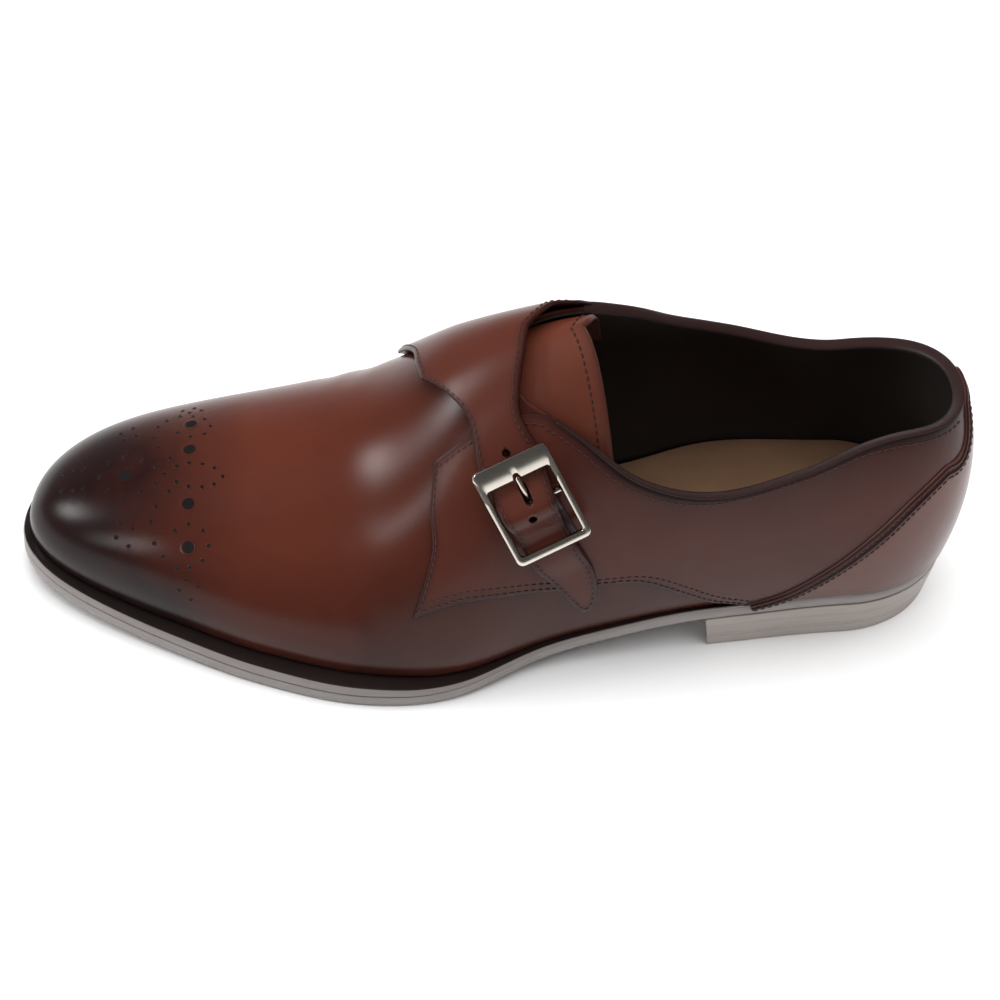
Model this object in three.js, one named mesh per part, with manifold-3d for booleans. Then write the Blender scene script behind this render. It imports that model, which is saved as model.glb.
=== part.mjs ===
// Monk strap shoe, left foot, in millimetres.
// Toe towards -X, buckled outer (lateral) side towards -Y, +Z up.
// The origin is on the floor, under the middle of the shoe's outline.
import * as THREE from 'three'
import { mergeVertices } from 'three/addons/utils/BufferGeometryUtils.js'
import Module from 'manifold-3d'

const wasm = await Module()
wasm.setup()

// Driving sizes of the last
const LAST_LENGTH = 296
const BALL_WIDTH = 97
const INSTEP_HEIGHT = 98
const TOE_SPRING = 6
const TOE_SWING = 2

// Sole, welt and heel
const OUTSOLE = 4.7
const WELT = 3.8
const WELT_INSIDE = 7
const HEEL_HEIGHT = 17.5
const HEEL_PITCH = 1.5
const HEEL_LIFT = 5
const HEEL_TAPER = 1.5
const BREAST_AT = 0.277
const BREAST_SLANT = 3
const NOTCH_LONG = 7
const NOTCH_WIDE = 10
const TREAD_FROM = 0.6
const TREAD_TO = 0.68
const MARGIN_TOE = 3.2
const MARGIN_BALL = 5
const MARGIN_WAIST = 1.6
const MARGIN_HEEL = 1.3

// Leathers, and the gaps between pieces that lie on each other
const GAP = 0.3
const OVERLAY_GAP = 0.4
const LINING_GAP = 0.8
const WALL = 2.2
const QUARTER = 1.2
const COUNTER = 2
const TONGUE = 1.6
const STRAP = 2
const INSOLE = 3
const THROAT_AT = 0.535
const THROAT_BACK = 0.49
const THROAT_SHARE = 0.97
const SEAM_GAP = 0.7
const COUNTER_LAP = 2

// Buckle, in its own frame: x down the strap, y across it, z off the foot
const BUCKLE_LONG = 33.5
const BUCKLE_WIDE = 24.5
const BUCKLE_CORNER = 2
const BUCKLE_THICK = 2
const BUCKLE_RISE = 5.2
const RAIL = 1.9
const TOP_BAR = 7
const END_BAR = 2.6
const CENTRE_BAR = 2
const CENTRE_BAR_RISE = 4.3
const PRONG = 1.8
const CHAPE = 0.9
const CHAPE_WIDE = 15
const CHAPE_LONG = 19
const HOLE = 2.6
const HOLE_PITCH = 10
const HOLE_USED = -6.5
const HOLE_ASIDE = -1.5
const HOLE_DEEP = 12
const SLOT_FROM = -7.4
const SLOT_TO = -1
const SLOT_LONG = 2.9
const SLOT_WIDE = 3
const NOTCH_DEPTH = 1.9
const BUCKLE_BEVEL = 0.4
const BAR_CLEAR = 3
const STRAP_HUMP = 4.6
const HUMP_REACH = 10
const BUCKLE_TOP = { at: 0.509, across: -0.381 }
const BUCKLE_END = { at: 0.461, across: -0.646 }

// Counter and tongue on the last
const COUNTER_AT = 0.243
const TAB_AT = 0.002
const TONGUE_FRONT = { at: 0.585, half: 0.45 }
const TONGUE_REAR = { at: 0.434, half: 0.57, bow: 0.038 }

// Mesh fineness
const STATIONS = 32
const THROAT_STATIONS = [0.486, 0.517, 0.527]
const LEVELS = 10
const SOLE_ROWS = 40
const COUNTER_ROWS = 14
const COUNTER_COLS = 9
const GIRTH = 110
const SMALL = 1e-4

// A short table: the first string names the columns, each row holds their values
const table = (names, rows) => rows.map((row) =>
  Object.fromEntries(names.split(' ').map((name, i) => [name, row[i]])))

// Sections of the last. at: share of the length from the heel; lateral, medial: half widths of
// the feather edge and shift of the ridge, as shares of the ball width; ridge: share of the
// instep height; out and rise: how far the wall bulges and climbs before it leans in; crown: how
// far the flat of the top reaches.
const SECTIONS = table('at lateral medial ridge shift outL riseL crownL outM riseM crownM', [
  [0.00, 0.320, 0.335, 1.120, 0.00, 0.075, 0.65, 0.560, 0.075, 0.65, 0.560],
  [0.12, 0.326, 0.332, 1.145, 0.00, 0.075, 0.49, 0.450, 0.060, 0.43, 0.420],
  [0.25, 0.367, 0.330, 1.175, 0.01, 0.083, 0.48, 0.480, 0.098, 0.53, 0.490],
  [0.35, 0.405, 0.255, 1.205, 0.02, 0.080, 0.47, 0.480, 0.126, 0.66, 0.520],
  [0.45, 0.450, 0.230, 1.140, 0.03, 0.053, 0.445, 0.470, 0.150, 0.76, 0.545],
  [0.55, 0.543, 0.330, 0.960, 0.04, 0.041, 0.41, 0.455, 0.136, 0.79, 0.565],
  [0.65, 0.543, 0.440, 0.685, 0.04, 0.048, 0.41, 0.460, 0.088, 0.75, 0.550],
  [0.75, 0.468, 0.452, 0.555, 0.03, 0.060, 0.50, 0.500, 0.073, 0.72, 0.560],
  [0.85, 0.380, 0.420, 0.490, 0.02, 0.055, 0.58, 0.560, 0.073, 0.70, 0.610],
  [0.93, 0.335, 0.420, 0.415, 0.02, 0.050, 0.57, 0.600, 0.070, 0.64, 0.625],
  [1.00, 0.320, 0.440, 0.370, 0.02, 0.050, 0.54, 0.615, 0.050, 0.54, 0.615],
])
// Height of the topline over the floor, as a share of the instep height
const TOPLINE = table('at lateral medial', [
  [0.00, 0.888, 0.888],
  [0.08, 0.900, 0.82],
  [0.20, 0.795, 0.795],
  [0.30, 0.748, 0.90],
  [0.38, 0.816, 1.02],
  [0.44, 0.930, 1.08],
  [0.50, 0.990, 1.06],
  [0.54, 0.990, 1.00],
])
// Thickness of the welt as a share of its full thickness
const WELT_FADE = table('at share', [[0, 0.25], [0.27, 0.25], [0.4, 0.3], [0.52, 0.62], [0.62, 1], [1, 1]])
// Plan curve of the ends: where each cap starts and the powers of its superellipse
const HEEL_CAP = { from: 0.115, power: 1.9, root: 2.1 }
const TOE_CAP = { from: 0.7, power: 2.6, root: 2 }
// The ridge line stops short of the ends, where the profiles fan round
const RIDGE_BACK = { from: 0.3, to: 0.137 }
const RIDGE_FRONT = { from: 0.72, to: 0.875 }

const clamp = THREE.MathUtils.clamp
const lerp = THREE.MathUtils.lerp

// Smooth curve through one column of a table
function smooth(rows, name, at) {
  const x = rows.map((row) => row.at)
  const y = rows.map((row) => row[name])
  const last = x.length - 1
  const s = clamp(at, x[0], x[last])
  const rise = (i) => (y[i + 1] - y[i]) / (x[i + 1] - x[i])
  const slope = (i) => {
    if (i === 0) return rise(0)
    if (i === last) return rise(last - 1)
    const before = x[i] - x[i - 1]
    const after = x[i + 1] - x[i]
    return (rise(i - 1) * after + rise(i) * before) / (before + after)
  }
  let i = 0
  while (i < last - 1 && s > x[i + 1]) i++
  const h = x[i + 1] - x[i]
  const t = (s - x[i]) / h
  return (1 + 2 * t) * (1 - t) ** 2 * y[i] + t * (1 - t) ** 2 * h * slope(i)
    + t * t * (3 - 2 * t) * y[i + 1] + t * t * (t - 1) * h * slope(i + 1)
}

// The last. side is -1 on the lateral half and +1 on the medial half.
const half = (side) => (side < 0 ? 'L' : 'M')
const along = (at) => (0.5 - at) * LAST_LENGTH
const toeSwing = (at) => TOE_SWING * clamp((at - TOE_CAP.from) / (1 - TOE_CAP.from), 0, 1) ** 2

function cap(at) {
  const back = clamp(1 - at / HEEL_CAP.from, 0, 1)
  const front = clamp((at - TOE_CAP.from) / (1 - TOE_CAP.from), 0, 1)
  return Math.max(1 - back ** HEEL_CAP.power, 0) ** (1 / HEEL_CAP.root)
    * Math.max(1 - front ** TOE_CAP.power, 0) ** (1 / TOE_CAP.root)
}

// Height of the outsole's underside: heel seat, arch, tread and toe spring
function underside(at) {
  if (at <= BREAST_AT) return HEEL_HEIGHT - HEEL_PITCH * at / BREAST_AT
  if (at <= TREAD_FROM) {
    const t = (at - BREAST_AT) / (TREAD_FROM - BREAST_AT)
    const start = HEEL_HEIGHT - HEEL_PITCH
    const slope = -2 * HEEL_PITCH / BREAST_AT * (TREAD_FROM - BREAST_AT)
    return (1 + 2 * t) * (1 - t) ** 2 * start + t * (1 - t) ** 2 * slope
  }
  return TOE_SPRING * Math.max((at - TREAD_TO) / (1 - TREAD_TO), 0) ** 1.9
}

const weltTop = (at) => underside(at) + OUTSOLE + GAP + WELT * smooth(WELT_FADE, 'share', at)
const seat = (at) => weltTop(at) + GAP

// Plan point of the feather edge, where the upper meets the welt
function feather(at, side) {
  const width = smooth(SECTIONS, side < 0 ? 'lateral' : 'medial', at) * BALL_WIDTH * cap(at)
  return new THREE.Vector2(along(at), toeSwing(at) + side * width)
}

// Past the heel or the toe the outline goes on along the other side
function roundEnds(at, side) {
  if (at < 0) return [-at, -side]
  if (at > 1) return [2 - at, -side]
  return [at, side]
}

// Plan direction pointing out of the feather edge
function outward(at, side) {
  const front = feather(...roundEnds(at + SMALL, side))
  const back = feather(...roundEnds(at - SMALL, side))
  const step = front.sub(back)
  return new THREE.Vector2(step.y, -step.x).multiplyScalar(side).normalize()
}

const MARGINS = table('at margin', [
  [0, MARGIN_HEEL], [0.22, MARGIN_HEEL], [0.38, MARGIN_WAIST], [0.48, MARGIN_WAIST + 0.6],
  [0.6, MARGIN_BALL], [0.8, MARGIN_BALL], [1, MARGIN_TOE],
])
const inset = (at, side, depth) => feather(at, side).addScaledVector(outward(at, side), -depth)
const edge = (at, side, depth = 0) => inset(at, side, depth - smooth(MARGINS, 'margin', at))

// Stations spread evenly along the plan outline, heel first, the same on both sides
function stations(count, to = 1) {
  const dense = 1500
  const share = (i) => to * (1 - Math.cos(Math.PI * i / dense)) / 2
  const run = [0]
  for (let i = 1; i <= dense; i++) {
    const step = (side) => feather(share(i), side).distanceTo(feather(share(i - 1), side))
    run.push(run[i - 1] + step(-1) + step(1))
  }
  const found = []
  let j = 0
  for (let i = 0; i <= count; i++) {
    const want = run[dense] * i / count
    while (j < dense - 1 && run[j + 1] < want) j++
    const t = (want - run[j]) / (run[j + 1] - run[j])
    found.push(clamp(lerp(share(j), share(j + 1), t), 0, to))
  }
  return found
}

// Where a profile meets the ridge
function ridgeAt(at) {
  if (at > RIDGE_FRONT.from) {
    const span = 1 - RIDGE_FRONT.from
    const kept = RIDGE_FRONT.to - RIDGE_FRONT.from
    return RIDGE_FRONT.from + kept * (1 - (1 - (at - RIDGE_FRONT.from) / span) ** (span / kept))
  }
  if (at < RIDGE_BACK.from) {
    const kept = RIDGE_BACK.from - RIDGE_BACK.to
    const t = (RIDGE_BACK.from - at) / RIDGE_BACK.from
    return RIDGE_BACK.from - kept * (1 - (1 - t) ** (RIDGE_BACK.from / kept))
  }
  return at
}
const ridgeHeight = (at) => smooth(SECTIONS, 'ridge', at) * INSTEP_HEIGHT
const ridgeSlope = (at) => (ridgeHeight(at - SMALL) - ridgeHeight(at + SMALL)) / (2 * SMALL * LAST_LENGTH)
function ridgePoint(at) {
  const y = smooth(SECTIONS, 'shift', at) * BALL_WIDTH + toeSwing(at)
  return new THREE.Vector3(along(at), y, ridgeHeight(at))
}

// Cubic profile from the feather edge up to the ridge
function profile(at, side) {
  const foot = feather(at, side)
  const out = outward(at, side)
  const top = ridgeAt(at)
  const ridge = ridgePoint(top)
  const low = new THREE.Vector3(foot.x, foot.y, seat(at))
  const inward = new THREE.Vector2(ridge.x - low.x, ridge.y - low.y)
  const crown = smooth(SECTIONS, 'crown' + half(side), at) * inward.length()
  const bulge = smooth(SECTIONS, 'out' + half(side), at) * BALL_WIDTH
  const rise = smooth(SECTIONS, 'rise' + half(side), at) * (ridge.z - low.z)
  inward.normalize().multiplyScalar(crown)
  const lower = low.clone().add(new THREE.Vector3(out.x * bulge, out.y * bulge, rise))
  const upper = ridge.clone().sub(new THREE.Vector3(inward.x, inward.y, ridgeSlope(top) * inward.x))
  return new THREE.CubicBezierCurve3(low, lower, upper, ridge)
}

// Share of a profile at which it reaches the topline; whole in front of the throat
function toplineShare(at, side) {
  if (at >= THROAT_AT) return 1
  const back = Math.min(at, THROAT_BACK)
  const curve = profile(back, side)
  const height = smooth(TOPLINE, side < 0 ? 'lateral' : 'medial', back) * INSTEP_HEIGHT
  let low = 0
  let high = THROAT_SHARE
  for (let i = 0; i < 30; i++) {
    const mid = (low + high) / 2
    if (curve.getPoint(mid).z < height) low = mid
    else high = mid
  }
  return lerp(low, THROAT_SHARE, (at - back) / (THROAT_AT - THROAT_BACK))
}

// Point of the last's skin at a share of a profile
const skin = (at, side, share) => {
  const [inside, half] = roundEnds(at, side)
  return profile(inside, half).getPoint(share)
}
function skinNormal(at, side, share) {
  if (share > 1 - SMALL) return new THREE.Vector3(-ridgeSlope(ridgeAt(at)), 0, 1).normalize()
  const curve = profile(at, side)
  const up = curve.getPoint(Math.min(share + 0.01, 1)).sub(curve.getPoint(Math.max(share - 0.01, 0)))
  const step = 5e-4
  const run = skin(at + step, side, share).sub(skin(at - step, side, share))
  return run.cross(up).multiplyScalar(side).normalize()
}
// A point lifted off the skin along its normal
function lifted(at, side, share, lift) {
  const point = skin(at, side, share).addScaledVector(skinNormal(at, side, share), lift)
  point.z = share < SMALL ? seat(at) : Math.max(point.z, seat(at))
  return point
}
// The same by place: across runs from -1 at the lateral feather edge over 0 at the ridge to +1
const place = (at, across, lift) => lifted(at, across < 0 ? -1 : 1, 1 - Math.abs(across), lift)

// Merge shared corners, drop faces that have shrunk to a line and turn the faces outwards
function tidy(source) {
  const plain = source.clone()
  plain.deleteAttribute('normal')
  plain.deleteAttribute('uv')
  const merged = mergeVertices(plain, 2e-3)
  const index = merged.getIndex().array
  const p = merged.getAttribute('position').array
  const kept = []
  let volume = 0
  for (let i = 0; i < index.length; i += 3) {
    const [a, b, c] = [index[i], index[i + 1], index[i + 2]]
    if (a === b || b === c || c === a) continue
    kept.push(a, b, c)
    const [u, v, w] = [a * 3, b * 3, c * 3]
    volume += p[u] * (p[v + 1] * p[w + 2] - p[v + 2] * p[w + 1])
      - p[u + 1] * (p[v] * p[w + 2] - p[v + 2] * p[w])
      + p[u + 2] * (p[v] * p[w + 1] - p[v + 1] * p[w])
  }
  if (volume < 0) kept.reverse()
  merged.setIndex(kept)
  return merged
}

function meshOf(points, indices) {
  const geometry = new THREE.BufferGeometry()
  const flat = points.flatMap((p) => [p.x, p.y, p.z])
  geometry.setAttribute('position', new THREE.Float32BufferAttribute(flat, 3))
  geometry.setIndex(indices)
  return tidy(geometry)
}

function toSolid(geometry) {
  const merged = tidy(geometry)
  return new wasm.Manifold(new wasm.Mesh({
    numProp: 3,
    vertProperties: merged.getAttribute('position').array,
    triVerts: new Uint32Array(merged.getIndex().array),
  }))
}

function fromSolid(solid) {
  const mesh = solid.getMesh()
  const geometry = new THREE.BufferGeometry()
  geometry.setAttribute('position', new THREE.BufferAttribute(mesh.vertProperties, 3))
  geometry.setIndex(new THREE.BufferAttribute(mesh.triVerts, 1))
  return geometry
}

// Closed slab between two grids of points with the same rows and columns
function slab(outer, inner) {
  const rows = outer.length
  const cols = outer[0].length
  const base = rows * cols
  const indices = []
  const quad = (a, b, c, d) => indices.push(a, b, c, a, c, d)
  for (let i = 0; i < rows - 1; i++) {
    for (let j = 0; j < cols - 1; j++) {
      const a = i * cols + j
      quad(a, a + cols, a + cols + 1, a + 1)
      quad(base + a, base + a + 1, base + a + cols + 1, base + a + cols)
    }
    const a = i * cols
    const b = a + cols - 1
    quad(a, base + a, base + a + cols, a + cols)
    quad(b + cols, base + b + cols, base + b, b)
  }
  for (let j = 0; j < cols - 1; j++) {
    const b = (rows - 1) * cols + j
    quad(j + 1, base + j + 1, base + j, j)
    quad(b, base + b, base + b + 1, b + 1)
  }
  return meshOf([...outer.flat(), ...inner.flat()], indices)
}

// A plan point at a height that depends on how far along the last it lies
const raise = (point, height) => new THREE.Vector3(point.x, point.y, height(0.5 - point.x / LAST_LENGTH))
// A plate across the shoe between two heights
function plate(ats, outline, top, bottom) {
  const row = (height) => ats.map((at) => [-1, 1].map((side) => raise(outline(at, side), height)))
  return slab(row(top), row(bottom))
}

// Sole pieces
const outsole = () => plate(stations(SOLE_ROWS), edge, (at) => underside(at) + OUTSOLE, underside)

// The welt is a ring under the edge of the upper
function welt() {
  const ats = stations(SOLE_ROWS)
  const loop = [...ats.map((at) => [at, -1]), ...ats.slice(1, -1).reverse().map((at) => [at, 1])]
  const low = (at) => underside(at) + OUTSOLE + GAP
  const corners = loop.map(([at, side]) => {
    const [out, within] = [edge(at, side), inset(at, side, WELT_INSIDE)]
    return [raise(out, low), raise(out, weltTop), raise(within, weltTop), raise(within, low)]
  })
  const indices = []
  corners.forEach((_, i) => {
    for (let j = 0; j < 4; j++) {
      const next = (i + 1) % corners.length
      const [a, b] = [i * 4 + j, i * 4 + (j + 1) % 4]
      const [c, d] = [next * 4 + (j + 1) % 4, next * 4 + j]
      indices.push(a, b, c, a, c, d)
    }
  })
  return meshOf(corners.flat(), indices)
}

// The insole fills the inside of the welt and carries the foot
function insole() {
  const ats = stations(SOLE_ROWS)
  const bed = plate(ats, (at, side) => inset(at, side, WALL + LINING_GAP),
    (at) => seat(at) + INSOLE, seat)
  const plug = plate(ats, (at, side) => inset(at, side, WELT_INSIDE + GAP),
    (at) => seat(at) + INSOLE / 2, (at) => underside(at) + OUTSOLE + GAP)
  return fromSolid(toSolid(bed).add(toSolid(plug)))
}

// The heel tapers to the floor, its breast slants back and its inner front corner is cut off
function heelPiece(topDepth, bottomDepth, top, bottom) {
  const ats = stations(16, BREAST_AT)
  const shorter = BREAST_SLANT / (BREAST_AT * LAST_LENGTH)
  const row = (depth, height) => ats.map((at) => [-1, 1].map((side) =>
    raise(edge(at * (1 - shorter * depth(at)), side, HEEL_TAPER * depth(at)), height)))
  const body = toSolid(slab(row(topDepth, top), row(bottomDepth, bottom)))
  const front = along(BREAST_AT)
  const inner = edge(BREAST_AT, 1).y
  const notch = new THREE.Shape([
    new THREE.Vector2(front - NOTCH_LONG, inner - 2 * NOTCH_WIDE),
    new THREE.Vector2(front + 2 * NOTCH_LONG, inner + NOTCH_WIDE),
    new THREE.Vector2(front - NOTCH_LONG, inner + NOTCH_WIDE),
  ])
  const cutter = new THREE.ExtrudeGeometry(notch, { depth: 2 * HEEL_HEIGHT, bevelEnabled: false })
  cutter.translate(0, 0, -HEEL_HEIGHT / 2)
  return fromSolid(body.subtract(toSolid(cutter)))
}
const depthAt = (height) => (at) => 1 - height / underside(at)
const heelBlock = () => heelPiece(() => 0, depthAt(HEEL_LIFT + GAP),
  (at) => underside(at) - GAP, () => HEEL_LIFT + GAP)
const heelLift = () => heelPiece(depthAt(HEEL_LIFT), () => 1, () => HEEL_LIFT, () => 0)

// The upper: one wall round the foot, open at the topline and underneath
function upper() {
  const ats = [...stations(STATIONS), ...THROAT_STATIONS].sort((a, b) => a - b)
  const points = []
  const indices = []
  const add = (point) => points.push(point) - 1
  const quad = (a, b, c, d) => indices.push(a, b, c, a, c, d)
  for (const side of [-1, 1]) {
    const grid = ats.map((at) => {
      const whole = toplineShare(at, side)
      const shares = Array.from({ length: LEVELS + 1 }, (_, j) => whole * j / LEVELS)
      const outer = shares.map((share) => add(lifted(at, side, share, 0)))
      const inner = shares.map((share) => add(lifted(at, side, share, -WALL)))
      return { outer, inner, open: whole < 1 }
    })
    for (let i = 0; i < ats.length - 1; i++) {
      const [a, b] = side < 0 ? [grid[i], grid[i + 1]] : [grid[i + 1], grid[i]]
      for (let j = 0; j < LEVELS; j++) {
        quad(a.outer[j], a.outer[j + 1], b.outer[j + 1], b.outer[j])
        quad(a.inner[j], b.inner[j], b.inner[j + 1], a.inner[j + 1])
      }
      quad(a.outer[0], b.outer[0], b.inner[0], a.inner[0])
      if (a.open || b.open) quad(a.outer[LEVELS], a.inner[LEVELS], b.inner[LEVELS], b.outer[LEVELS])
    }
  }
  return meshOf(points, indices)
}

// Overlays: patches of leather on the skin. Each row of their tables holds the two ends of a line
// across the patch (how far along the last, and how far across it from -1 at the lateral feather
// edge over 0 at the ridge to +1). An empty high value means the topline. steps: rows of facets up
// to the next line; sharp: the outline turns a corner here.
const toplineAcross = (at, side) => side * (1 - toplineShare(at, side))

// Value of one column between the lines, smooth but for the sharp ones
function through(rows, name, u) {
  const i = Math.min(Math.floor(u), rows.length - 2)
  const y = (j) => rows[j][name]
  const chord = y(i + 1) - y(i)
  const start = i === 0 || rows[i].sharp ? chord : (y(i + 1) - y(i - 1)) / 2
  const end = i === rows.length - 2 || rows[i + 1].sharp ? chord : (y(i + 2) - y(i)) / 2
  const t = u - i
  return y(i) + t * chord + t * (1 - t) * ((1 - t) * (start - chord) - t * (end - chord))
}

// Points of a patch as { at, across, u }; back and front bend its first and last line
function patchGrid(rows, side, cols, { back, front, fade = rows.length - 1 }) {
  const filled = rows.map((row) => ({ ...row, high: row.high ?? toplineAcross(row.highAt, side) }))
  const last = rows.length - 1
  const us = rows.flatMap((row, i) => (i < last
    ? Array.from({ length: row.steps }, (_, k) => i + k / row.steps) : [last]))
  const curve = (points) => new THREE.SplineCurve(points.map(([at, across]) =>
    new THREE.Vector2(at * LAST_LENGTH, across * GIRTH)))
  const ends = (u) => {
    const name = (column) => through(filled, column, u)
    const i = Math.min(Math.floor(u), last - 1)
    const free = rows[i].high !== null || rows[i + 1].high !== null
    const high = free ? name('high') : toplineAcross(name('highAt'), side)
    return [[name('lowAt'), name('low')], [name('highAt'), high]]
  }
  const straight = (pair, v, k) => lerp(pair[0][k], pair[1][k], v)
  const bend = (points, u, v) => {
    if (!points) return [0, 0]
    const p = curve(points).getPointAt(v)
    const pair = ends(u)
    return [p.x / LAST_LENGTH - straight(pair, v, 0), p.y / GIRTH - straight(pair, v, 1)]
  }
  const vs = Array.from({ length: cols + 1 }, (_, j) => j / cols)
  const first = vs.map((v) => bend(back, 0, v))
  const final = vs.map((v) => bend(front, last, v))
  return us.map((u) => vs.map((v, j) => {
    const near = clamp(1 - u / fade, 0, 1)
    const far = clamp(1 - (last - u) / fade, 0, 1)
    const pair = ends(u)
    const value = (k) => straight(pair, v, k) + near * first[j][k] + far * final[j][k]
    return { at: value(0), across: value(1), u }
  }))
}

// Leather slab on the skin, from a lift under it to a lift over it
const leather = (grid, under, over) => slab(
  grid.map((row) => row.map((p) => place(p.at, p.across, over(p)))),
  grid.map((row) => row.map((p) => place(p.at, p.across, under(p)))))

// Upper edge of the counter as a share of the way up to the topline
const COUNTER_LINE = table('at share', [
  [0, 1], [TAB_AT, 1], [0.013, 0.79], [0.039, 0.73], [0.079, 0.6], [0.124, 0.4], [0.162, 0.24], [0.2, 0.09],
  [COUNTER_AT, 0],
])
function counterBorder(side) {
  const line = stations(2 * COUNTER_ROWS, COUNTER_AT).filter((at) => at > TAB_AT)
  return [TAB_AT, ...line].reverse().map((at) => {
    const speed = feather(at + SMALL, side).distanceTo(feather(at - SMALL, side)) / (2 * SMALL)
    const shifted = at - COUNTER_LAP / speed
    const share = smooth(COUNTER_LINE, 'share', at)
    return [shifted, side * (1 - share * toplineShare(shifted, side))]
  })
}

// The counter wraps the heel from one side to the other
function counterSlab(under, over, extra = 0) {
  const line = stations(COUNTER_ROWS, COUNTER_AT + 2 * extra / LAST_LENGTH)
  const turns = [...line.slice(1).reverse().map((at) => [at, -1]), ...line.map((at) => [at, 1])]
  const layer = (lift) => turns.map(([at, side]) => {
    const reach = smooth(COUNTER_LINE, 'share', at) * toplineShare(at, side) + extra / GIRTH
    const column = Array.from({ length: COUNTER_COLS + 1 }, (_, j) =>
      lifted(at, side, reach * j / COUNTER_COLS, lift))
    column[0].z -= extra
    return column
  })
  return slab(layer(over), layer(under))
}
const counter = () => counterSlab(OVERLAY_GAP, OVERLAY_GAP + COUNTER)
// Both quarters end in a seam at the counter's edge
const trimmed = (quarter) => toSolid(quarter)
  .subtract(toSolid(counterSlab(-OVERLAY_GAP, 2 * COUNTER, SEAM_GAP)))

const LATERAL_QUARTER = table('lowAt low highAt high steps', [
  [0.2454, -1, TAB_AT, null, 2],
  [0.262, -0.983, 0.025, null, 2],
  [0.29, -0.955, 0.08, null, 4],
  [0.36, -0.845, 0.18, null, 3],
  [0.403, -0.82, 0.265, null, 3],
  [0.445, -0.805, 0.335, null, 3],
  [0.495, -0.76, 0.405, null, 3],
  [0.542, -0.72, 0.47, null, 3],
  [0.57, -0.716, 0.525, -0.275, 2],
  [0.598, -0.725, 0.578, -0.305, 1],
])
const LATERAL_FRONT = [
  [0.598, -0.725], [0.589, -0.645], [0.58, -0.545], [0.582, -0.435], [0.578, -0.305],
]
function lateralQuarter() {
  const grid = patchGrid(LATERAL_QUARTER, -1, 14, { back: counterBorder(-1), front: LATERAL_FRONT })
  return fromSolid(trimmed(leather(grid, () => OVERLAY_GAP, () => OVERLAY_GAP + QUARTER)))
}

// The medial quarter runs on over the instep as the strap
const ON_QUARTER = 2 * OVERLAY_GAP + QUARTER
const MEDIAL_QUARTER = table('lowAt low highAt high lift thick steps sharp', [
  [0.2454, 1, TAB_AT, null, OVERLAY_GAP, QUARTER, 2],
  [0.262, 0.983, 0.025, null, OVERLAY_GAP, QUARTER, 2],
  [0.29, 0.955, 0.08, null, OVERLAY_GAP, QUARTER, 2],
  [0.36, 0.845, 0.16, null, OVERLAY_GAP, QUARTER, 2],
  [0.445, 0.805, 0.24, null, OVERLAY_GAP, QUARTER, 3],
  [0.54, 0.72, 0.31, null, OVERLAY_GAP, QUARTER, 2],
  [0.6, 0.725, 0.37, null, OVERLAY_GAP, QUARTER, 2, true],
  [0.601, 0.6, 0.41, null, OVERLAY_GAP, QUARTER, 2],
  [0.611, 0.45, 0.435, 0.25, 0.9, 1.3, 2, true],
  [0.6, 0.3, 0.455, 0.2, 2, 1.5, 2],
  [0.591, 0.19, 0.468, 0.1, 2.4, 1.6, 2],
  [0.588, 0.08, 0.482, 0, 2.3, 1.8, 2],
  [0.584, -0.03, 0.488, -0.1, ON_QUARTER, STRAP, 2, true],
  [0.562, -0.13, 0.494, -0.2, ON_QUARTER, STRAP, 2],
  [0.543, -0.24, 0.494, -0.29, ON_QUARTER, STRAP, 3],
  [0.535, -0.38, 0.476, -0.4, ON_QUARTER, STRAP, 4],
  [0.52, -0.48, 0.463, -0.5, ON_QUARTER, STRAP, 3],
  [0.505, -0.56, 0.45, -0.6, ON_QUARTER, STRAP, 4],
  [0.483, -0.68, 0.432, -0.68, ON_QUARTER, STRAP, 3],
  [0.458, -0.765, 0.414, -0.76, ON_QUARTER, STRAP, 2],
  [0.434, -0.845, 0.408, -0.83, ON_QUARTER, STRAP, 2],
  [0.422, -0.88, 0.412, -0.875, ON_QUARTER, STRAP, 1],
])
const QUARTER_LINES = 6

// The buckle's own frame on the skin
const buckleMiddle = [(BUCKLE_TOP.at + BUCKLE_END.at) / 2, (BUCKLE_TOP.across + BUCKLE_END.across) / 2]
const buckleFrame = (() => {
  const middle = place(...buckleMiddle, 0)
  const down = place(BUCKLE_END.at, BUCKLE_END.across, 0)
    .sub(place(BUCKLE_TOP.at, BUCKLE_TOP.across, 0)).normalize()
  const off = place(...buckleMiddle, 1).sub(middle)
  off.addScaledVector(down, -off.dot(down)).normalize()
  return new THREE.Matrix4().makeBasis(down, off.clone().cross(down), off).setPosition(middle)
})()
const toBuckle = buckleFrame.clone().invert()

// Point of the skin under a place in the buckle's frame
function skinUnder(x, y) {
  let [at, across] = buckleMiddle
  const local = (a, b) => place(a, b, 0).applyMatrix4(toBuckle)
  for (let i = 0; i < 6; i++) {
    const p = local(at, across)
    const du = local(at + 0.002, across).sub(p).divideScalar(0.002)
    const dv = local(at, across + 0.004).sub(p).divideScalar(0.004)
    const det = du.x * dv.y - du.y * dv.x
    const [ex, ey] = [x - p.x, y - p.y]
    at += (ex * dv.y - ey * dv.x) / det
    across += (du.x * ey - du.y * ex) / det
  }
  return local(at, across).z
}

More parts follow.
